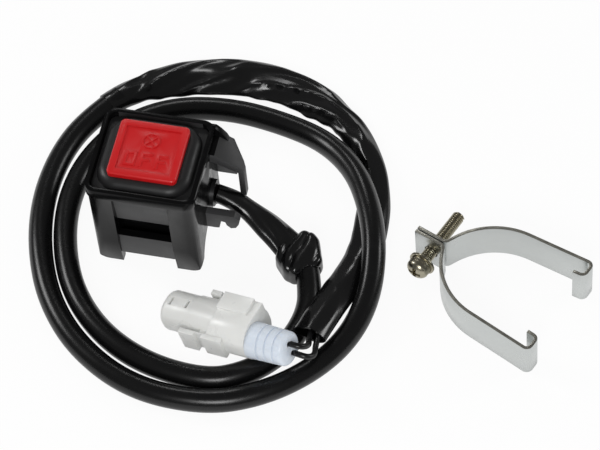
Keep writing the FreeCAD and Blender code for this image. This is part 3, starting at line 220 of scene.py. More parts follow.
@dataclass(frozen=True)
class Finish:
    """One surface finish and how its material is put together.

    Args:
        name: the finish in a maker's words.
        color: base colour, linear.
        roughness: middle roughness.
        polish: how far roughness swings with the polish map.
        tone: how far the colour swings, as a share.
        grain: fine bump in millimetres.
        grain_scale: how fine the grain is.
        tone_scale: how fine the tone changes are.
        stretch: how far the pattern is drawn out along X and Z.
        metallic: 1 for metal.
        specular: strength of the plain reflection.
        subsurface: weight of light that travels inside.
        scuffs: strength of the scratches.
        scuff_color: colour of the scratches.
    """

    name: str
    color: Point
    roughness: float
    polish: float = 0.12
    tone: float = 0.12
    grain: float = 0.01
    grain_scale: float = 1500.0
    tone_scale: float = 60.0
    stretch: tuple[float, float] = (1.0, 1.0)
    metallic: float = 0.0
    specular: float = 0.5
    subsurface: float = 0.0
    scuffs: float = 0.1
    scuff_color: Point = (0.16, 0.16, 0.165)

    def tinted(self, factor: float) -> tuple[float, float, float, float]:
        """The base colour times a factor, with full alpha."""
        red, green, blue = (min(1.0, channel * factor) for channel in self.color)
        return (red, green, blue, 1.0)

    def material(self) -> bpy.types.Material:
        """Builds the material, or finds it when it is there already.

        Returns:
            The material with its node tree.
        """
        own_name = f"{self.name}_finish"
        found = bpy.data.materials.get(own_name)
        if found:
            return found
        made = bpy.data.materials.new(own_name)
        made.use_nodes = True
        made.diffuse_color = self.tinted(1.0)
        tree = made.node_tree
        sizes = {"Grain Scale": self.grain_scale, "Tone Scale": self.tone_scale}
        sizes |= {"Stretch X": self.stretch[0], "Stretch Z": self.stretch[1]}
        surface = add_node(tree, "ShaderNodeGroup", {}, node_tree=surface_group())
        feed(tree, surface, sizes)
        scuffs = add_node(tree, "ShaderNodeGroup", {}, node_tree=scuff_group())
        feed(tree, scuffs, {"Amount": self.scuffs})
        tones = {"A": self.tinted(1.0 - self.tone), "B": self.tinted(1.0 + self.tone)}
        tones["Factor"] = surface.outputs["Tone"]
        blend = add_node(tree, "ShaderNodeMix", tones, data_type="RGBA").outputs["Result"]
        marks = {"A": blend, "B": (*self.scuff_color, 1.0), "Factor": scuffs.outputs["Mask"]}
        marked = add_node(tree, "ShaderNodeMix", marks, data_type="RGBA")
        low, high = max(0.02, self.roughness - self.polish), min(1.0, self.roughness + self.polish)
        swing = {"Value": surface.outputs["Polish"], "To Min": low, "To Max": high}
        relief = {"Height": surface.outputs["Grain"], "Distance": self.grain * MM}
        values = {
            "Base Color": marked.outputs["Result"],
            "Roughness": add_node(tree, "ShaderNodeMapRange", swing).outputs["Result"],
            "Normal": add_node(tree, "ShaderNodeBump", relief).outputs["Normal"],
            "Metallic": self.metallic,
            "Specular IOR Level": self.specular,
        }
        if self.subsurface > 0:
            values["Subsurface Weight"] = self.subsurface
            values["Subsurface Radius"] = SCATTER_RADII
            values["Subsurface Scale"] = SCATTER_DEPTH * MM
        feed(tree, tree.nodes["Principled BSDF"], values)
        return made


MOULDED_BLACK = Finish("moulded_black", (0.004, 0.004, 0.0042), 0.22, grain=0.003, specular=0.1)
# Grain, bump and roughness are the real frosted surface; the base colour, far lighter than moulded_black, is
# painted sheen for the light the panels and hood sides catch.
FROSTED_BLACK_PAINTED_SHEEN = Finish(
    "frosted_black_painted_sheen", (0.034, 0.034, 0.035), 0.5, polish=0.08, grain=0.02, grain_scale=1100.0, specular=0.6
)
SOFT_RUBBER = Finish("soft_rubber", (0.014, 0.014, 0.0145), 0.4, grain=0.004, specular=0.45, scuffs=0.05)
BUTTON_RED = Finish(
    "button_red", (0.56, 0.006, 0.008), 0.34, tone=0.05, grain=0.003, specular=0.4, scuffs=0.02,
    scuff_color=(0.7, 0.03, 0.03),
)
INNER_PLASTIC = Finish("inner_plastic", (0.7, 0.68, 0.62), 0.5, scuff_color=(0.6, 0.58, 0.54))
SPRING_STEEL = Finish("spring_steel", (0.5, 0.5, 0.51), 0.3, metallic=1.0, scuffs=0.2)
CONTACT_BRASS = Finish("contact_brass", (0.72, 0.5, 0.22), 0.32, metallic=1.0)
LAMINATE = Finish("board_laminate", (0.27, 0.16, 0.08), 0.5, tone=0.25)
SLEEVE_VINYL = Finish(
    "sleeve_vinyl", (0.0038, 0.0038, 0.004), 0.27, polish=0.05, grain=0.0015, specular=0.4, scuffs=0.05
)
FOLDED_VINYL = Finish(
    "folded_vinyl", (0.0038, 0.0038, 0.004), 0.2, polish=0.04, grain=0.0015, specular=0.6, scuffs=0.04
)
WIRE_VINYL = Finish("wire_vinyl", (0.006, 0.006, 0.0065), 0.3, grain=0.004, specular=0.45)
MILKY_NYLON = Finish(
    "milky_nylon", (0.78, 0.785, 0.765), 0.3, tone=0.04, grain=0.003, subsurface=0.35, scuffs=0.04,
    scuff_color=(0.7, 0.7, 0.69),
)
CLEAR_SILICONE = Finish(
    "clear_silicone", (0.70, 0.76, 0.84), 0.28, tone=0.04, grain=0.006, subsurface=0.55, scuffs=0.0,
)
ZINC_SHEET = Finish(
    "zinc_sheet", (0.57, 0.59, 0.58), 0.3, grain=0.004, grain_scale=900.0, tone_scale=45.0,
    stretch=(0.25, 1.0), metallic=1.0, scuffs=0.25, scuff_color=(0.42, 0.43, 0.44),
)
SHEARED_EDGE = Finish(
    "sheared_edge", (0.42, 0.41, 0.36), 0.42, polish=0.15, tone=0.35, grain=0.03, grain_scale=700.0,
    tone_scale=140.0, metallic=1.0, scuffs=0.6, scuff_color=(0.55, 0.53, 0.46),
)
PASSIVATED_SCREW = Finish(
    "passivated_screw", (0.42, 0.39, 0.30), 0.3, polish=0.1, tone=0.2, grain=0.006, metallic=1.0,
    scuffs=0.3, scuff_color=(0.62, 0.58, 0.48),
)


def pick(obj: bpy.types.Object) -> None:
    """Deselects everything, then selects one object and makes it the active one.

    Args:
        obj: the object.
    """
    bpy.ops.object.select_all(action="DESELECT")
    obj.select_set(True)
    bpy.context.view_layer.objects.active = obj


def link_mesh(name: str, mesh: bpy.types.Mesh) -> bpy.types.Object:
    """Puts a mesh into the scene as an object.

    Args:
        name: the object's name.
        mesh: its mesh.

    Returns:
        The new object, at the origin.
    """
    obj = bpy.data.objects.new(name, mesh)
    bpy.context.scene.collection.objects.link(obj)
    return obj


@contextmanager
def editing(obj: bpy.types.Object, action: str = "SELECT") -> Iterator[None]:
    """Keeps a piece in edit mode while its mesh is changed.

    Args:
        obj: the piece.
        action: SELECT or DESELECT, for all of its mesh at the start.

    Yields:
        Nothing; the piece leaves edit mode afterwards.
    """
    pick(obj)
    bpy.ops.object.mode_set(mode="EDIT")
    bpy.ops.mesh.select_all(action=action)
    yield
    bpy.ops.object.mode_set(mode="OBJECT")


def face_outwards(obj: bpy.types.Object) -> None:
    """Turns all faces of a closed piece outwards."""
    with editing(obj):
        bpy.ops.mesh.normals_make_consistent(inside=False)


def apply_modifier(obj: bpy.types.Object, name: str, kind: str, **settings: object) -> None:
    """Adds a modifier to a piece, sets it up and applies it.

    Args:
        obj: the piece.
        name: the modifier's name.
        kind: its type.
        settings: its settings by name.
    """
    pick(obj)
    modifier = obj.modifiers.new(name, kind)
    for setting, value in settings.items():
        setattr(modifier, setting, value)
    bpy.ops.object.modifier_apply(modifier=modifier.name)


def merged_copy(node: str, name: str) -> bpy.types.Object:
    """A copy of a frame node with its loose triangles merged into clean faces.

    Args:
        node: the frame node to start from.
        name: the new piece's name.

    Returns:
        The new object, at the origin.
    """
    obj = link_mesh(name, frame["nodes"][node].data.copy())
    obj.data.name = name
    obj.data.materials.clear()
    pick(obj)
    bpy.ops.mesh.customdata_custom_splitnormals_clear()
    with editing(obj):
        bpy.ops.mesh.remove_doubles(threshold=MERGE_DISTANCE * MM)
        bpy.ops.mesh.dissolve_limited(angle_limit=math.radians(FLAT_ANGLE))
        bpy.ops.mesh.normals_make_consistent(inside=False)
    return obj


def soften(obj: bpy.types.Object, width: float, segments: int = 2, angle: float = 38.0) -> None:
    """Rounds a piece's sharp edges and shades its faces smoothly between them.

    Args:
        obj: the piece.
        width: width of the rounding in millimetres.
        segments: how many faces cross the rounding.
        angle: least angle, in degrees, of an edge that is rounded.
    """
    limits = {"limit_method": "ANGLE", "angle_limit": math.radians(angle), "use_clamp_overlap": True}
    apply_modifier(obj, "edge_rounding", "BEVEL", width=width * MM, segments=segments, **limits)
    bpy.ops.object.shade_smooth_by_angle(angle=math.radians(SHARP_ANGLE))


def dress(obj: bpy.types.Object, finish: Finish) -> None:
    """Gives a piece its finish, in a single material slot.

    Args:
        obj: the piece, or a frame node.
        finish: its finish.
    """
    obj.data.materials.clear()
    obj.data.materials.append(finish.material())
    LOG.info("%s dressed in %s", obj.name, finish.name)


def place(obj: bpy.types.Object, body: Body, *nodes: str) -> bpy.types.Object:
    """Makes a piece ride on its body and stand for frame nodes.

    Args:
        obj: the piece.
        body: the body it rides on.
        nodes: the frame nodes it stands for.

    Returns:
        The same piece.
    """
    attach(obj, body.value)
    if nodes:
        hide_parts(*nodes)
    return obj


def centreline(name: str, route: tuple[Point, ...]) -> list[Vector]:
    """The smooth line of a route, read from its spline.

    Args:
        name: name for the short-lived curve.
        route: control points in millimetres.

    Returns:
        Points along the line, in metres.
    """
    curve = bpy.data.curves.new(name, "CURVE")
    curve.dimensions = "3D"
    spline = curve.splines.new("NURBS")
    spline.points.add(len(route) - 1)
    for control, point in zip(spline.points, route):
        control.co = (*(value * MM for value in point), 1.0)
    spline.order_u = 3
    spline.use_endpoint_u = True
    spline.resolution_u = 12
    holder = bpy.data.objects.new(name, curve)
    bpy.context.scene.collection.objects.link(holder)
    bpy.context.view_layer.update()
    shown = holder.evaluated_get(bpy.context.evaluated_depsgraph_get())
    line = bpy.data.meshes.new_from_object(shown)
    points = [vertex.co.copy() for vertex in line.vertices]
    bpy.data.objects.remove(holder)
    bpy.data.curves.remove(curve)
    bpy.data.meshes.remove(line)
    return points


def stations(points: list[Vector]) -> list[float]:
    """How far along the line each of its points lies.

    Args:
        points: the line, in metres.

    Returns:
        One distance a point, in millimetres.
    """
    covered = [0.0]
    for before, after in zip(points, points[1:]):
        covered.append(covered[-1] + (after - before).length / MM)
    return covered


def tube_mesh(name: str, points: list[Vector], shape: SectionShape, sides: int) -> bpy.types.Object:
    """A closed skin round a line, its section given by a shape.

    Args:
        name: the piece's name.
        points: the line, in metres.
        shape: from (millimetres along, angle round) to (across, up) in millimetres.
        sides: faces round the section.

    Returns:
        The new object, with a map that runs along and round it.
    """
    covered = stations(points)
    rows: list[Vector] = []
    for index, point in enumerate(points):
        before = points[max(index - 1, 0)]
        after = points[min(index + 1, len(points) - 1)]
        direction = (after - before).normalized()
        across = direction.cross(Vector((0, 0, 1))).normalized()
        upward = across.cross(direction).normalized()
        for side in range(sides):
            angle = 2 * math.pi * side / sides
            wide, high = shape(covered[index], angle)
            rows.append(point + across * (wide * MM) + upward * (high * MM))
    faces = []
    for index in range(len(points) - 1):
        for side in range(sides):
            following = (side + 1) % sides
            first = index * sides
            second = first + sides
            faces.append((first + side, second + side, second + following, first + following))
    last = (len(points) - 1) * sides
    faces.append(tuple(range(sides)))
    faces.append(tuple(last + side for side in reversed(range(sides))))
    mesh = bpy.data.meshes.new(name)
    mesh.from_pydata(rows, [], faces)
    mesh.update()
    obj = link_mesh(name, mesh)
    add_length_map(obj, covered, sides)
    face_outwards(obj)
    bpy.ops.object.shade_smooth_by_angle(angle=math.radians(TUBE_ANGLE))
    return obj


def add_length_map(obj: bpy.types.Object, covered: list[float], sides: int) -> None:
    """A map whose first way is centimetres along a tube and second the way round it.

    Args:
        obj: the tube.
        covered: millimetres along at each ring of points.
        sides: points in a ring.
    """
    layer = obj.data.uv_layers.new(name="along_and_round")
    for face in obj.data.polygons:
        rounds = {obj.data.loops[loop].vertex_index % sides for loop in face.loop_indices}
        wraps = rounds >= {0, sides - 1}
        for loop in face.loop_indices:
            vertex = obj.data.loops[loop].vertex_index
            around = vertex % sides
            if wraps and around == 0:
                around = sides
            layer.data[loop].uv = (covered[vertex // sides] / 10.0, around / sides)


def between(table: Table, at: float) -> float:
    """A value read from a table, with soft steps between its rows.

    Args:
        table: pairs of place and value.
        at: the place that is asked for.

    Returns:
        The value there.
    """
    if at <= table[0][0]:
        return table[0][1]
    for (low, first), (high, second) in zip(table, table[1:]):
        if at <= high:
            share = (at - low) / (high - low)
            share = share * share * (3 - 2 * share)
            return first + (second - first) * share
    return table[-1][1]


def crease(x: float, y: float, seed: float) -> float:
    """A ridged value, at most 1, that makes creases in a soft skin."""
    return 1.0 - abs(noise.noise(Vector((x, y, seed)))) * 2.0


def flattened(angle: float, wide: float, high: float, side: float, top: float) -> tuple[float, float]:
    """A point of a section between an ellipse and a flat strip.

    Args:
        angle: angle round the section.
        wide: half its width.
        high: half its height.
        side: power of the cosine, below 1 for fuller sides.
        top: power of the sine, above 1 for a flatter top.

    Returns:
        How far across and up the point lies.
    """
    cosine, sine = math.cos(angle), math.sin(angle)
    across = math.copysign(abs(cosine) ** side, cosine) * wide
    upward = math.copysign(abs(sine) ** top, sine) * high
    return across, upward


@dataclass
class Studio:
    """The floor, the lamps, the white surround and the camera.

    Args:
        azimuth: camera's turn round the object, in degrees from the front.
        elevation: camera's height angle, in degrees.
        distance: camera's distance, in millimetres.
        roll: camera's roll, in degrees.
        focal: focal length in pixels of the frame.
        frame_width: width of that frame in pixels.
        sensor: width of the camera's sensor, in millimetres.
        clip: the nearest and farthest that it sees, in metres.
        target: the point looked at, in millimetres.
        floor_reach: half the floor's side, in metres.
        floor_tone: the floor's own grey.
        floor_glow: share of plain white in the floor where it is seen directly.
        floor_gloss: the same where it is seen in a reflection.
        world_fill: the surround's strength as a light.
        world_gloss: the surround's strength in a reflection.
        lamp_aim: the point that the lamps face, in metres.
    """

    azimuth: float = 17.262
    elevation: float = 56.0
    distance: float = 982.98
    roll: float = -5.888
    focal: float = 3216.46
    frame_width: float = 600.0
    sensor: float = 36.0
    clip: tuple[float, float] = (0.05, 20.0)
    target: Point = (41.681, 8.519, 0.0)
    floor_reach: float = 1.6
    floor_tone: float = 0.94
    floor_glow: float = 0.93
    floor_gloss: float = 0.7
    world_fill: float = 0.42
    world_gloss: float = 0.13
    lamp_aim: Point = (0.03, 0.0, 0.0)

    def build(self) -> None:
        """Builds everything round the object."""
        self.camera()
        self.floor()
        self.world()
        self.lamps()

    def camera(self) -> None:
        """The camera at the photograph's own viewing angle."""
        turn, lift, roll = (math.radians(value) for value in (self.azimuth, self.elevation, self.roll))
        back = Vector(
            (math.sin(turn) * math.cos(lift), -math.cos(turn) * math.cos(lift), math.sin(lift))
        )
        level = Vector((math.cos(turn), math.sin(turn), 0.0))
        upward = back.cross(level)
        right = level * math.cos(roll) + upward * math.sin(roll)
        head = upward * math.cos(roll) - level * math.sin(roll)
        data = bpy.data.cameras.new("camera")
        data.sensor_width = self.sensor
        data.lens = self.focal * self.sensor / self.frame_width
        data.clip_start, data.clip_end = self.clip
        camera = bpy.data.objects.new("camera", data)
        rows = Matrix((right, head, back)).transposed().to_4x4()
        spot = Vector(self.target) * MM + back * (self.distance * MM)
        camera.matrix_world = Matrix.Translation(spot) @ rows
        bpy.context.scene.collection.objects.link(camera)
        bpy.context.scene.camera = camera

    def floor(self) -> None:
        """A plain pale floor that keeps the object's shadow."""
        bpy.ops.object.select_all(action="DESELECT")
        bpy.ops.mesh.primitive_plane_add(size=2 * self.floor_reach, location=(0, 0, 0))
        floor = bpy.context.object
        floor.name = "floor"
        made = bpy.data.materials.new("floor_white")
        made.use_nodes = True
        tree = made.node_tree
        tree.nodes.remove(tree.nodes["Principled BSDF"])
        matt = add_node(tree, "ShaderNodeBsdfDiffuse", {"Color": (*(self.floor_tone,) * 3, 1.0)})
        glow = add_node(tree, "ShaderNodeEmission", {"Color": (1.0, 1.0, 1.0, 1.0)})
        share = self.seen(tree, self.floor_glow, self.floor_gloss, 0.0)
        mix = add_node(tree, "ShaderNodeMixShader", {"Fac": share, 1: matt.outputs[0], 2: glow.outputs[0]})
        feed(tree, tree.nodes["Material Output"], {"Surface": mix.outputs[0]})
        floor.data.materials.append(made)

    @staticmethod
    def seen(tree: bpy.types.NodeTree, direct: float, gloss: float, rest: float) -> bpy.types.NodeSocket:
        """A value that depends on the kind of ray that meets the surface.

        Args:
            tree: the tree.
            direct: value for rays from the camera and through glass.
            gloss: value for rays of a reflection.
            rest: value for all other rays.

        Returns:
            The socket that carries the value.
        """
        path = add_node(tree, "ShaderNodeLightPath", {}).outputs
        rays = {0: path["Is Camera Ray"], 1: path["Is Transmission Ray"]}
        straight = add_node(tree, "ShaderNodeMath", rays, operation="MAXIMUM").outputs[0]
        mirrored = {"Value": path["Is Glossy Ray"], "To Min": rest, "To Max": gloss}
        shine = add_node(tree, "ShaderNodeMapRange", mirrored).outputs["Result"]
        plain = {"Value": straight, "To Min": shine, "To Max": direct}
        return add_node(tree, "ShaderNodeMapRange", plain).outputs["Result"]

    def world(self) -> None:
        """A white surround, softer where it only lights."""
        world = bpy.data.worlds.new("surround")
        bpy.context.scene.world = world
        world.use_nodes = True
        tree = world.node_tree
        strength = self.seen(tree, 1.0, self.world_gloss, self.world_fill)
        feed(tree, tree.nodes["Background"], {"Color": (1.0, 1.0, 1.0, 1.0), "Strength": strength})
        bpy.context.scene.view_settings.view_transform = "Standard"

    def lamps(self) -> None:
        """Soft boxes in front and at the left, and weak ones at the right and the back."""
        self.lamp("key_box", (0.12, -0.62, 0.52), 0.26, 2.4)
        self.lamp("left_box", (-0.62, 0.10, 0.46), 0.24, 1.7)
        self.lamp("right_box", (0.66, 0.34, 0.34), 0.20, 0.8)
        self.lamp("back_box", (-0.22, 0.66, 0.60), 0.16, 0.55)

    def lamp(self, name: str, spot: Point, size: float, power: float) -> None:
        """One square soft box that faces the object.

        Args:
            name: the lamp's name.
            spot: where it stands, in metres.
            size: its side, in metres.
            power: its power in watts.
        """
        data = bpy.data.lights.new(name, "AREA")
        data.shape = "SQUARE"
        data.size = size
        data.energy = power
        lamp = bpy.data.objects.new(name, data)
        lamp.location = spot
        aim = Vector(self.lamp_aim) - Vector(spot)
        lamp.rotation_euler = aim.to_track_quat("-Z", "Y").to_euler()
        bpy.context.scene.collection.objects.link(lamp)


LEAD_ROUTE: tuple[Point, ...] = (
    (17.6, 4.6, 16.9), (22.6, 4.7, 14.9), (27.6, 3.4, 12.0), (32.0, 1.6, 9.8), (36.4, -0.6, 8.0),
    (40.8, -3.2, 6.2), (44.8, -6.0, 5.0),
)
MAIN_ROUTE: tuple[Point, ...] = (
    (47.6, -8.0, 5.2), (50.2, -15.2, 4.2), (51.6, -23.6, 3.8), (49.4, -33.4, 3.8), (44.8, -42.0, 3.8),
    (37.2, -48.8, 3.8), (26.8, -52.9, 3.8), (8.1, -50.6, 3.8), (-7.7, -42.6, 3.8), (-19.6, -30.2, 3.8),
    (-26.8, -14.4, 3.8), (-29.8, 2.5, 3.8), (-27.6, 18.5, 3.8), (-19.4, 33.2, 3.8), (-5.4, 42.2, 3.8),
    (12.0, 44.8, 3.8), (29.0, 42.5, 3.8), (43.8, 37.3, 4.8), (55.2, 26.6, 8.2), (62.6, 13.4, 10.4),
    (67.6, -1.4, 10.2), (69.0, -17.0, 6.6), (65.4, -31.2, 4.1), (56.8, -44.2, 3.8), (44.2, -54.4, 3.8),
    (28.8, -60.5, 3.8), (6.6, -59.4, 3.8), (-12.3, -49.6, 3.8), (-26.0, -34.5, 3.8),
    (-34.3, -15.9, 3.8), (-37.6, 2.0, 3.8), (-36.6, 18.5, 3.8), (-31.4, 33.0, 3.8), (-23.6, 43.4, 3.8),
)
WIDE_ROUTE: tuple[Point, ...] = (
    (-26.6, 39.4, 3.8), (-23.6, 43.4, 3.8), (-15.8, 49.4, 3.3), (-5.6, 54.7, 2.9), (7.5, 57.8, 2.9),
    (22.0, 57.9, 2.9), (33.4, 55.0, 2.9), (43.6, 49.8, 2.9), (51.8, 43.4, 2.9), (58.4, 33.6, 2.9),
    (62.6, 21.0, 2.9), (64.0, 8.5, 2.9), (63.6, -1.4, 3.0), (61.4, -9.8, 3.8), (59.2, -17.8, 5.8),
    (57.3, -26.0, 8.7), (54.9, -35.6, 10.2),
)
GROUND_WIRE_ROUTE: tuple[Point, ...] = (
    (36.89, -38.62, 10.6), (53.59, -46.16, 15.31), (58.6, -44.6, 12.6), (57.2, -38.0, 10.9),
    (57.9, -28.6, 9.1),
)
STOP_WIRE_ROUTE: tuple[Point, ...] = (
    (35.87, -38.34, 14.66), (52.57, -45.88, 19.38), (56.8, -43.4, 16.4), (54.9, -37.2, 11.1),
    (55.5, -28.1, 9.1),
)


@dataclass
class Harness:
    """The lead: its three sleeves, the taped fold and the two end wires.

    Sizes are in millimetres, and tables give a value by millimetres along a sleeve.

    Args:
        main_diameter: the long round sleeve.
        main_unevenness: how far its skin wanders.
        lead_widths: widths of the sleeve at the outlet.
        lead_heights: its heights.
        lead_flatness: how flat its section is, from 0 to 1.
        lead_ridge: where its ridge lies across it.
        lead_turns: how far it is turned, in degrees.
        lead_fullness: how far a flat section fills its sides and levels its top.
        ridge_size: height and width of the ridge.
        dent_size: depth and width of the dent beside it.
        dent_offset: how far the dent lies from the ridge.
        lead_diameter: its thickness as a cord; not used.
        wide_widths: widths of the wide sleeve.
        wide_heights: its heights.
        wide_flatness: how flat its section is, from 0 to 1.
        wide_ragged: how ragged its edge is.
        wide_wrinkles: how strong its creases are.
        wide_fullness: as lead_fullness.
        ragged_depth: depth of the ragged edge.
        middle_size: height of the lift along its middle, and its share of the width.
        fold_height: height of the creases.
        dent_depth: depth of the soft dents between them.
        wide_diameter: its width as a cord; not used.
        wide_wall: wall at its open mouth.
        mouth_depth: how deep the mouth is hollow.
        mouth_rings: how many rings back the way into the mouth points.
        wire_diameter: each end wire.
        fold_grid: grid of the taped fold's skin.
        pleat_turn: turn of its pleats, in degrees.
        pleat_pitch: distance between the pleats.
        pleat_depth: depth of the pleats.
    """

    main_diameter: float = 7.4
    main_unevenness: float = 0.10
    lead_widths: Table = ((0, 5.8), (9, 6.8), (20, 9.6), (32, 10.2))
    lead_heights: Table = ((0, 5.8), (10, 5.6), (32, 5.4))
    lead_flatness: Table = ((0, 0.0), (10, 0.0), (24, 1.0))
    lead_ridge: Table = ((0, 0.0), (6, -0.6), (20, -1.6), (32, 0.4))
    lead_turns: Table = ((0, 0.0), (14, 14.0), (32, -6.0))
    lead_fullness: tuple[float, float] = (0.22, 0.25)
    ridge_size: tuple[float, float] = (0.9, 1.2)
    dent_size: tuple[float, float] = (0.8, 1.3)
    dent_offset: float = 2.6
    lead_diameter: float = 5.2
    wide_widths: Table = (
        (0, 7.9), (12, 9.2), (17.5, 11.8), (27, 13.4), (49, 14.0), (60.5, 13.0), (72, 12.2), (81, 9.6),
        (95, 9.0), (108, 9.8), (120, 10.6), (166, 10.6),
    )
    wide_heights: Table = ((0, 7.4), (6, 6.4), (14, 5.2), (166, 5.2))
    wide_flatness: Table = ((0, 0.0), (4, 0.15), (14, 1.0))
    wide_ragged: Table = ((0, 0.1), (30, 0.35), (66, 0.5), (74, 1.0), (98, 1.0), (108, 0.3), (166, 0.2))
    wide_wrinkles: Table = ((0, 0.3), (12, 0.8), (66, 1.0), (92, 0.7), (112, 0.3), (166, 0.2))
    wide_fullness: tuple[float, float] = (0.12, 0.2)
    ragged_depth: float = 1.5
    middle_size: tuple[float, float] = (0.55, 0.34)
    fold_height: float = 1.6
    dent_depth: float = 0.5
    wide_diameter: float = 10.6
    wide_wall: float = 0.7
    mouth_depth: float = 8.0
    mouth_rings: int = 8
    wire_diameter: float = 1.8
    fold_grid: float = 0.32
    pleat_turn: float = 12.0
    pleat_pitch: float = 4.6
    pleat_depth: float = 1.7

    def build(self) -> None:
        """Builds the lead from the switch to the connector's wires."""
        self.main_sleeve()
        self.lead_sleeve()
        self.wide_sleeve()
        self.end_wires()

    def main_shape(self, along: float, angle: float) -> tuple[float, float]:
        """The round sleeve's section, a touch uneven as soft tube is.

        Args:
            along: millimetres along the sleeve.
            angle: angle round it.

        Returns:
            How far across and up its skin lies.
        """
        swell = self.main_unevenness * noise.noise(Vector((along * 0.045, math.cos(angle), math.sin(angle))))
        radius = self.main_diameter / 2 + (swell - self.main_unevenness / 2)
        return radius * math.cos(angle), radius * math.sin(angle)

    def main_sleeve(self) -> None:
        """The long round sleeve that makes one turn and most of another."""
        points = centreline("main_route", MAIN_ROUTE)
        obj = tube_mesh("main_sleeve_skin", points, self.main_shape, 28)
        dress(obj, SLEEVE_VINYL)
        place(obj, Body.HOUSING, "main_sleeve")

    def lead_shape(self, along: float, angle: float) -> tuple[float, float]:
        """The lead sleeve's section: round at the outlet, then flat with a ridge and a dent.

        Args:
            along: millimetres along the sleeve.
            angle: angle round it.

        Returns:
            How far across and up its skin lies.
        """
        wide, high = between(self.lead_widths, along) / 2, between(self.lead_heights, along) / 2
        flat = between(self.lead_flatness, along)
        side, top = self.lead_fullness
        across, upward = flattened(angle, wide, high, 1.0 - side * flat, 1.0 + top * flat)
        if upward > 0:
            off = across - between(self.lead_ridge, along)
            upward += self.ridge_size[0] * flat * math.exp(-((off / self.ridge_size[1]) ** 2))
            dent = (off - self.dent_offset) / self.dent_size[1]
            upward -= self.dent_size[0] * flat * math.exp(-(dent**2))
        turn = math.radians(between(self.lead_turns, along))
        return (
            across * math.cos(turn) - upward * math.sin(turn),
            across * math.sin(turn) + upward * math.cos(turn),
        )

    def lead_sleeve(self) -> None:
        """The thin sleeve from the outlet to the taped fold."""
        points = centreline("lead_route", LEAD_ROUTE)
        obj = tube_mesh("lead_sleeve_skin", points, self.lead_shape, 36)
        dress(obj, FOLDED_VINYL)
        place(obj, Body.HOUSING, "lead_sleeve")
        fold = self.taped_fold()

    def taped_fold(self) -> bpy.types.Object:
        """The taped fold: a soft lump with pleats that run with the lead.

        Returns:
            The new piece.
        """
        obj = merged_copy("tape_wrap", "tape_wrap_folds")
        apply_modifier(obj, "even_skin", "REMESH", mode="VOXEL", voxel_size=self.fold_grid * MM)
        apply_modifier(obj, "soften_skin", "SMOOTH", factor=0.6, iterations=12)
        normals = [vertex.normal.copy() for vertex in obj.data.vertices]
        turn = Matrix.Rotation(math.radians(self.pleat_turn), 3, "Z")
        for vertex, normal in zip(obj.data.vertices, normals):
            local = turn @ (vertex.co / MM)
            sway = noise.noise(Vector((local.x * 0.12, local.y * 0.10, 3.0)))
            pleat = abs(math.sin(math.pi * (local.x / self.pleat_pitch + 0.8 * sway)))
            depth = 0.5 + 0.5 * noise.noise(Vector((local.x * 0.2, local.y * 0.2, 11.0)))
            upper = max(0.0, normal.z) ** 0.7
            vertex.co += normal * ((pleat - 0.8) * depth * self.pleat_depth * MM * (0.12 + 0.88 * upper))
        bpy.ops.object.shade_smooth()
        dress(obj, FOLDED_VINYL)
        return place(obj, Body.HOUSING, "tape_wrap")

    def wide_shape(self, along: float, angle: float) -> tuple[float, float]:
        """The wide sleeve's section: flat, lifted in the middle, creased where it bends.

        Args:
            along: millimetres along the sleeve.
            angle: angle round it.

        Returns:
            How far across and up its skin lies.
        """
        wide, high = between(self.wide_widths, along) / 2, between(self.wide_heights, along) / 2
        flat = between(self.wide_flatness, along)
        side, top = self.wide_fullness
        across, upward = flattened(angle, wide, high, 1.0 - side * flat, 1.0 + top * flat)
        cosine, sine = math.cos(angle), math.sin(angle)
        if cosine > 0:
            sway = noise.noise(Vector((along * 0.19, 0.3, 5.0)))
            across += cosine * between(self.wide_ragged, along) * self.ragged_depth * sway
        if upward > 0:
            upward += self.middle_size[0] * flat * math.exp(-((cosine / self.middle_size[1]) ** 2))
            folds = crease(along * 0.05 + cosine * 0.85, along * 0.022 - cosine * 0.55, 9.0) ** 2
            dents = noise.noise(Vector((along * 0.08, cosine * 1.1, 21.0)))
            relief = self.fold_height * folds + self.dent_depth * dents - 1.0
            upward += relief * flat * sine * between(self.wide_wrinkles, along)
        return across, upward

    def wide_sleeve(self) -> None:
        """The wide flat sleeve over the end of the lead, open at its cut mouth."""
        points = centreline("wide_route", WIDE_ROUTE)
        obj = tube_mesh("wide_sleeve_skin", points, self.wide_shape, 48)
        self.open_mouth(obj, points)
        dress(obj, FOLDED_VINYL)
        place(obj, Body.HOUSING, "wide_sleeve")

    def open_mouth(self, obj: bpy.types.Object, points: list[Vector]) -> None:
        """Insets the sleeve's end face and pushes it in, so that the mouth is hollow.

        Args:
            obj: the sleeve.
            points: its centreline.
        """
        inward = (points[-self.mouth_rings] - points[-1]).normalized() * (self.mouth_depth * MM)
        with editing(obj, "DESELECT"):
            bpy.ops.mesh.select_mode(type="FACE")
        ends = [face for face in obj.data.polygons if len(face.vertices) > 4]
        min(ends, key=lambda face: (face.center - points[-1]).length).select = True
        bpy.ops.object.mode_set(mode="EDIT")
        bpy.ops.mesh.select_mode(type="FACE")
        bpy.ops.mesh.inset(thickness=self.wide_wall * MM)
        bpy.ops.mesh.extrude_region_move(TRANSFORM_OT_translate={"value": tuple(inward)})
        bpy.ops.object.mode_set(mode="OBJECT")

    def end_wires(self) -> None:
        """The two bare wires between the wide sleeve and the connector."""
        for name, route in (("ground_wire", GROUND_WIRE_ROUTE), ("stop_wire", STOP_WIRE_ROUTE)):
            points = centreline(f"{name}_route", tuple(reversed(route)))
            obj = tube_mesh(f"{name}_skin", points, self.wire_shape, 16)
            dress(obj, WIRE_VINYL)
            place(obj, Body.HOUSING, f"{name}_connector_end")

    def wire_shape(self, _along: float, angle: float) -> tuple[float, float]:
        """A wire's round section, the same all along it."""
        return flattened(angle, self.wire_diameter / 2, self.wire_diameter / 2, 1.0, 1.0)


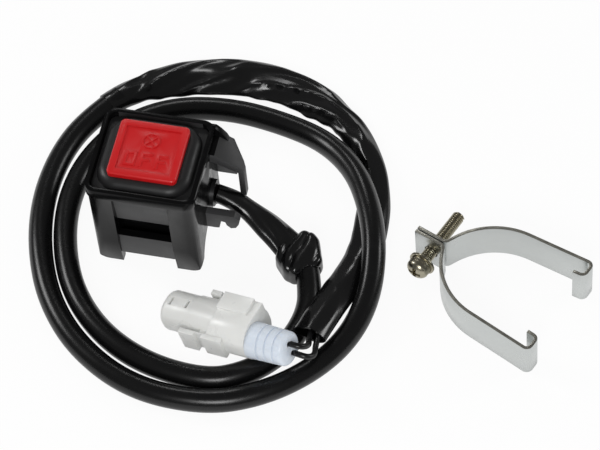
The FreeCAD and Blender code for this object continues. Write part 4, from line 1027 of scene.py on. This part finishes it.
@dataclass
class SwitchBlock:
    """The housing, the rubber boot, the button and what is inside.

    Args:
        housing_edge: rounding of the housing's edges, in millimetres.
        button_edge: rounding of the button's edges.
        boot_edge: rounding of the boot's edges.
        boot_low: level below which the boot stays with the housing, in millimetres; not used.
        boot_high: level above which it moves with the button; not used.
        spring_seat: level of the spring's fixed end; not used.
        spring_height: height of the spring at rest; not used.
        travel: how far the button goes down; not used.
        half_width: half the housing's width.
        foot_radius: rounding of the feet's outer edges.
        foot_steps: faces across that rounding.
        cutter_reach: half the length of its cutter.
        panel_half_width: half the width of the recessed panels.
        panel_levels: how far in front of the middle the panels' faces lie, from and to.
        hood_gap: how far past the wall the hood's frosted part, lighter grey with painted sheen, starts.
        hood_top: level at which it ends.
    """

    housing_edge: float = 0.3
    button_edge: float = 0.16
    boot_edge: float = 0.5
    boot_low: float = 36.4
    boot_high: float = 38.6
    spring_seat: float = 26.0
    spring_height: float = 10.5
    travel: float = 2.5
    half_width: float = 16.4
    foot_radius: float = 3.8
    foot_steps: int = 8
    cutter_reach: float = 18.0
    panel_half_width: float = 11.2
    panel_levels: tuple[float, float] = (11.6, 14.4)
    hood_gap: float = 0.6
    hood_top: float = 33.0

    def build(self) -> None:
        """Builds the switch from its housing to its contacts."""
        housing = merged_copy("switch_housing", "housing_shell")
        self.round_feet(housing)
        soften(housing, self.housing_edge)
        dress(housing, MOULDED_BLACK)
        self.frost_and_paint_sheen(housing)
        place(housing, Body.HOUSING, "switch_housing")
        self.button()
        self.boot()
        self.spring()
        self.inner_nodes()

    def round_feet(self, housing: bpy.types.Object) -> None:
        """Rounds the outer bottom edges of the housing's side walls with two concave cutters.

        Args:
            housing: the housing's skin.
        """
        edge, radius, long = self.half_width, self.foot_radius, self.cutter_reach
        turns = [math.pi / 2 * step / self.foot_steps for step in range(self.foot_steps + 1)]
        arc = [(edge - radius + radius * math.sin(turn), radius - radius * math.cos(turn)) for turn in turns]
        outline = [(edge - radius, -1.0), *arc, (edge + 2.0, radius), (edge + 2.0, -1.0)]
        count = len(outline)
        for side in (-1, 1):
            points = [(side * x * MM, y * MM, z * MM) for y in (-long, long) for x, z in outline]
            faces = [tuple(range(count)), tuple(reversed(range(count, 2 * count)))]
            for index in range(count):
                after = (index + 1) % count
                faces.append((index, after, count + after, count + index))
            mesh = bpy.data.meshes.new("foot_cutter")
            mesh.from_pydata(points, [], faces)
            cutter = link_mesh("foot_cutter", mesh)
            face_outwards(cutter)
            settings = {"operation": "DIFFERENCE", "solver": "EXACT", "object": cutter}
            apply_modifier(housing, "foot_cut", "BOOLEAN", **settings)
            bpy.data.objects.remove(cutter)

    def frost_and_paint_sheen(self, housing: bpy.types.Object) -> None:
        """Gives the recessed panels, the hood's sides and the guard their grained finish; its grey, far
        lighter than the rest of the housing, is painted sheen for the light these faces catch.

        Args:
            housing: the housing's skin.
        """
        # The second slot's lighter grey is painted sheen on the faces that catch the light.
        housing.data.materials.append(FROSTED_BLACK_PAINTED_SHEEN.material())
        near, far = self.panel_levels
        for face in housing.data.polygons:
            spot = face.center / MM
            panel = abs(spot.x) < self.panel_half_width and near < abs(spot.y) < far
            beside = spot.x > self.half_width + self.hood_gap and spot.z < self.hood_top
            if (panel and abs(face.normal.y) > 0.5) or beside:
                face.material_index = 1

    def button(self) -> None:
        """The red button with its rounded border and raised marks."""
        cap = merged_copy("button_cap", "button_red_cap")
        soften(cap, self.button_edge, 3)
        dress(cap, BUTTON_RED)
        place(cap, Body.BUTTON, "button_cap")

    def boot(self) -> None:
        """The rubber boot, rounded and dressed, with its transform baked into its mesh."""
        boot = merged_copy("rubber_boot", "boot_skin")
        soften(boot, self.boot_edge, 3)
        dress(boot, SOFT_RUBBER)
        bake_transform(boot)
        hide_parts("rubber_boot")

    def spring(self) -> None:
        """The return spring, smoothly shaded and riding on the housing, with a mesh of its own."""
        spring = merged_copy("return_spring", "spring_coil")
        pick(spring)
        bpy.ops.object.shade_smooth()
        dress(spring, SPRING_STEEL)
        place(spring, Body.HOUSING, "return_spring")
        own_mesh(spring)

    def inner_nodes(self) -> None:
        """Finishes for the frame's own nodes, which keep their shapes."""
        finishes = {
            INNER_PLASTIC: ("plunger", "guide_plate"),
            SPRING_STEEL: ("plunger_clip", "contact_push_nut", "guide_screws", "board_screws"),
            CONTACT_BRASS: ("moving_contact", "fixed_contact_left", "fixed_contact_right"),
            LAMINATE: ("contact_board",),
            SOFT_RUBBER: ("outlet_grommet",),
            WIRE_VINYL: ("ground_wire_switch_end", "stop_wire_switch_end"),
        }
        for finish, nodes in finishes.items():
            for node in nodes:
                dress(frame["nodes"][node], finish)


@dataclass
class Connector:
    """The white connector and its translucent boot.

    Args:
        edge: rounding of the moulded edges, in millimetres.
    """

    edge: float = 0.24

    def build(self) -> None:
        """Builds the connector's two moulded pieces and finishes its terminals."""
        shell = merged_copy("connector_housing", "connector_shell")
        soften(shell, self.edge)
        dress(shell, MILKY_NYLON)
        place(shell, Body.HOUSING, "connector_housing")
        boot = merged_copy("connector_boot", "connector_boot_rings")
        bpy.ops.object.shade_smooth_by_angle(angle=math.radians(TUBE_ANGLE))
        dress(boot, CLEAR_SILICONE)
        place(boot, Body.HOUSING, "connector_boot")
        dress(frame["nodes"]["connector_terminals"], CONTACT_BRASS)


@dataclass
class Clamp:
    """The two bent strips, the screw and its washers.

    Args:
        corner: where the clamp's own frame stands, in millimetres.
        turn: how far that frame is turned, in degrees.
        level: the screw's height.
        head_seat: how far in front of the clamp's middle the head's underside lies.
        head_cut: how far above that underside the head is cut off.
        thread_length: length below the head.
        thread_radius: outer radius of the thread.
        root_radius: radius at the bottom of the thread.
        core_sides: faces round the core.
        pitch: the thread's pitch.
        thread_steps: faces in one turn of the thread.
        thread_merge: points of the thread that are closer than this become one.
        thread_sink: how far the thread reaches into the core.
        crest_share: half the crest's width, as a share of the pitch.
        foot_share: the same for the thread's foot.
        tip_gap: plain length at each end of the thread.
        tip_edge: rounding of the core's tip.
        screw_edge: rounding of the screw's head and the washers.
        strip_edge: rounding of the strips' edges.
    """

    corner: Point = (84.4, 3.0, 0.0)
    turn: float = -22.6
    level: float = 6.5
    head_seat: float = 7.55
    head_cut: float = 0.02
    thread_length: float = 22.0
    thread_radius: float = 1.98
    root_radius: float = 1.62
    core_sides: int = 40
    pitch: float = 0.7
    thread_steps: int = 28
    thread_merge: float = 0.001
    thread_sink: float = 0.12
    crest_share: float = 0.09
    foot_share: float = 0.46
    tip_gap: float = 0.5
    tip_edge: float = 0.3
    screw_edge: float = 0.12
    strip_edge: float = 0.14

    def build(self) -> None:
        """Builds the clamp's five pieces."""
        for side in ("front", "rear"):
            self.strip(side)
        self.screw()
        for node in ("spring_washer", "flat_washer"):
            washer = merged_copy(node, f"{node}_turned")
            soften(washer, self.screw_edge)
            dress(washer, PASSIVATED_SCREW)
            place(washer, Body.WASHERS, node)

    def strip(self, side: str) -> None:
        """One bent strip, bright on its faces and darker on its sheared edges.

        Args:
            side: front or rear.
        """
        node = f"clamp_strip_{side}"
        strip = merged_copy(node, f"clamp_{side}_strip")
        soften(strip, self.strip_edge)
        dress(strip, ZINC_SHEET)
        strip.data.materials.append(SHEARED_EDGE.material())
        for face in strip.data.polygons:
            if abs(face.normal.z) > 0.9:
                face.material_index = 1
        place(strip, Body.HOUSING, node)

    def screw_frame(self) -> Matrix:
        """The screw's own frame.

        Returns:
            A matrix with the head's underside at its origin and +Z towards the head.
        """
        stand = Matrix.Translation(Vector(self.corner) * MM)
        stand = stand @ Matrix.Rotation(math.radians(self.turn), 4, "Z")
        seat = Matrix.Translation(Vector((0.0, -self.head_seat, self.level)) * MM)
        return stand @ seat @ Matrix.Rotation(math.radians(90.0), 4, "X")

    def screw(self) -> None:
        """The screw: its head from the frame, a core and a real thread round it."""
        pose = self.screw_frame()
        head = merged_copy("clamp_screw", "clamp_screw_threaded")
        middle, up = pose @ Vector((0, 0, self.head_cut * MM)), pose.to_3x3() @ Vector((0, 0, 1))
        with editing(head):
            bpy.ops.mesh.bisect(plane_co=middle, plane_no=up, use_fill=True, clear_inner=True)
        soften(head, self.screw_edge)
        core = self.screw_core(pose)
        thread = self.screw_thread(pose)
        bpy.ops.object.select_all(action="DESELECT")
        for part in (head, core, thread):
            part.select_set(True)
        bpy.context.view_layer.objects.active = head
        bpy.ops.object.join()
        bpy.ops.object.shade_smooth_by_angle(angle=math.radians(THREAD_ANGLE))
        dress(head, PASSIVATED_SCREW)
        place(head, Body.SCREW, "clamp_screw")

    def screw_core(self, pose: Matrix) -> bpy.types.Object:
        """The solid core of the shank, with a bevelled tip.

        Args:
            pose: the screw's frame.

        Returns:
            The core, placed.
        """
        bpy.ops.object.select_all(action="DESELECT")
        bpy.ops.mesh.primitive_cylinder_add(
            vertices=self.core_sides,
            radius=self.root_radius * MM,
            depth=self.thread_length * MM,
            location=(0, 0, -self.thread_length / 2 * MM),
        )
        core = bpy.context.object
        bpy.ops.object.transform_apply(location=True, rotation=False, scale=False)
        soften(core, self.tip_edge)
        core.data.transform(pose)
        return core

    def screw_thread(self, pose: Matrix) -> bpy.types.Object:
        """The ridge of the thread, turned round the core.

        Args:
            pose: the screw's frame.

        Returns:
            The thread, placed.
        """
        inner = self.root_radius - self.thread_sink
        crest, half = self.pitch * self.crest_share, self.pitch * self.foot_share
        corners = ((inner, -half), (self.thread_radius, -crest), (self.thread_radius, crest), (inner, half))
        start = -self.thread_length + self.tip_gap
        mesh = bpy.data.meshes.new("thread_profile")
        spots = [(x * MM, 0.0, (z + start) * MM) for x, z in corners]
        mesh.from_pydata(spots, [(0, 1), (1, 2), (2, 3), (3, 0)], [])
        thread = link_mesh("thread", mesh)
        rounds = int((self.thread_length - 2 * self.tip_gap) / self.pitch)
        turn = {"axis": "Z", "angle": 2 * math.pi, "screw_offset": self.pitch * MM, "iterations": rounds}
        fine = {"steps": self.thread_steps, "render_steps": self.thread_steps, "use_merge_vertices": False}
        apply_modifier(thread, "turning", "SCREW", **turn, **fine)
        with editing(thread):
            bpy.ops.mesh.remove_doubles(threshold=self.thread_merge * MM)
            bpy.ops.mesh.select_mode(type="EDGE")
            bpy.ops.mesh.select_all(action="DESELECT")
            bpy.ops.mesh.select_non_manifold()
            bpy.ops.mesh.edge_face_add()
        face_outwards(thread)
        thread.data.transform(pose)
        return thread


def main() -> None:
    """Builds the studio and every sub-assembly in order."""
    logging.basicConfig(level=logging.INFO, format="%(name)s: %(message)s")
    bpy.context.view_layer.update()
    Studio().build()
    SwitchBlock().build()
    Connector().build()
    Harness().build()
    Clamp().build()
    bpy.context.view_layer.update()


if __name__ == "__main__":
    main()
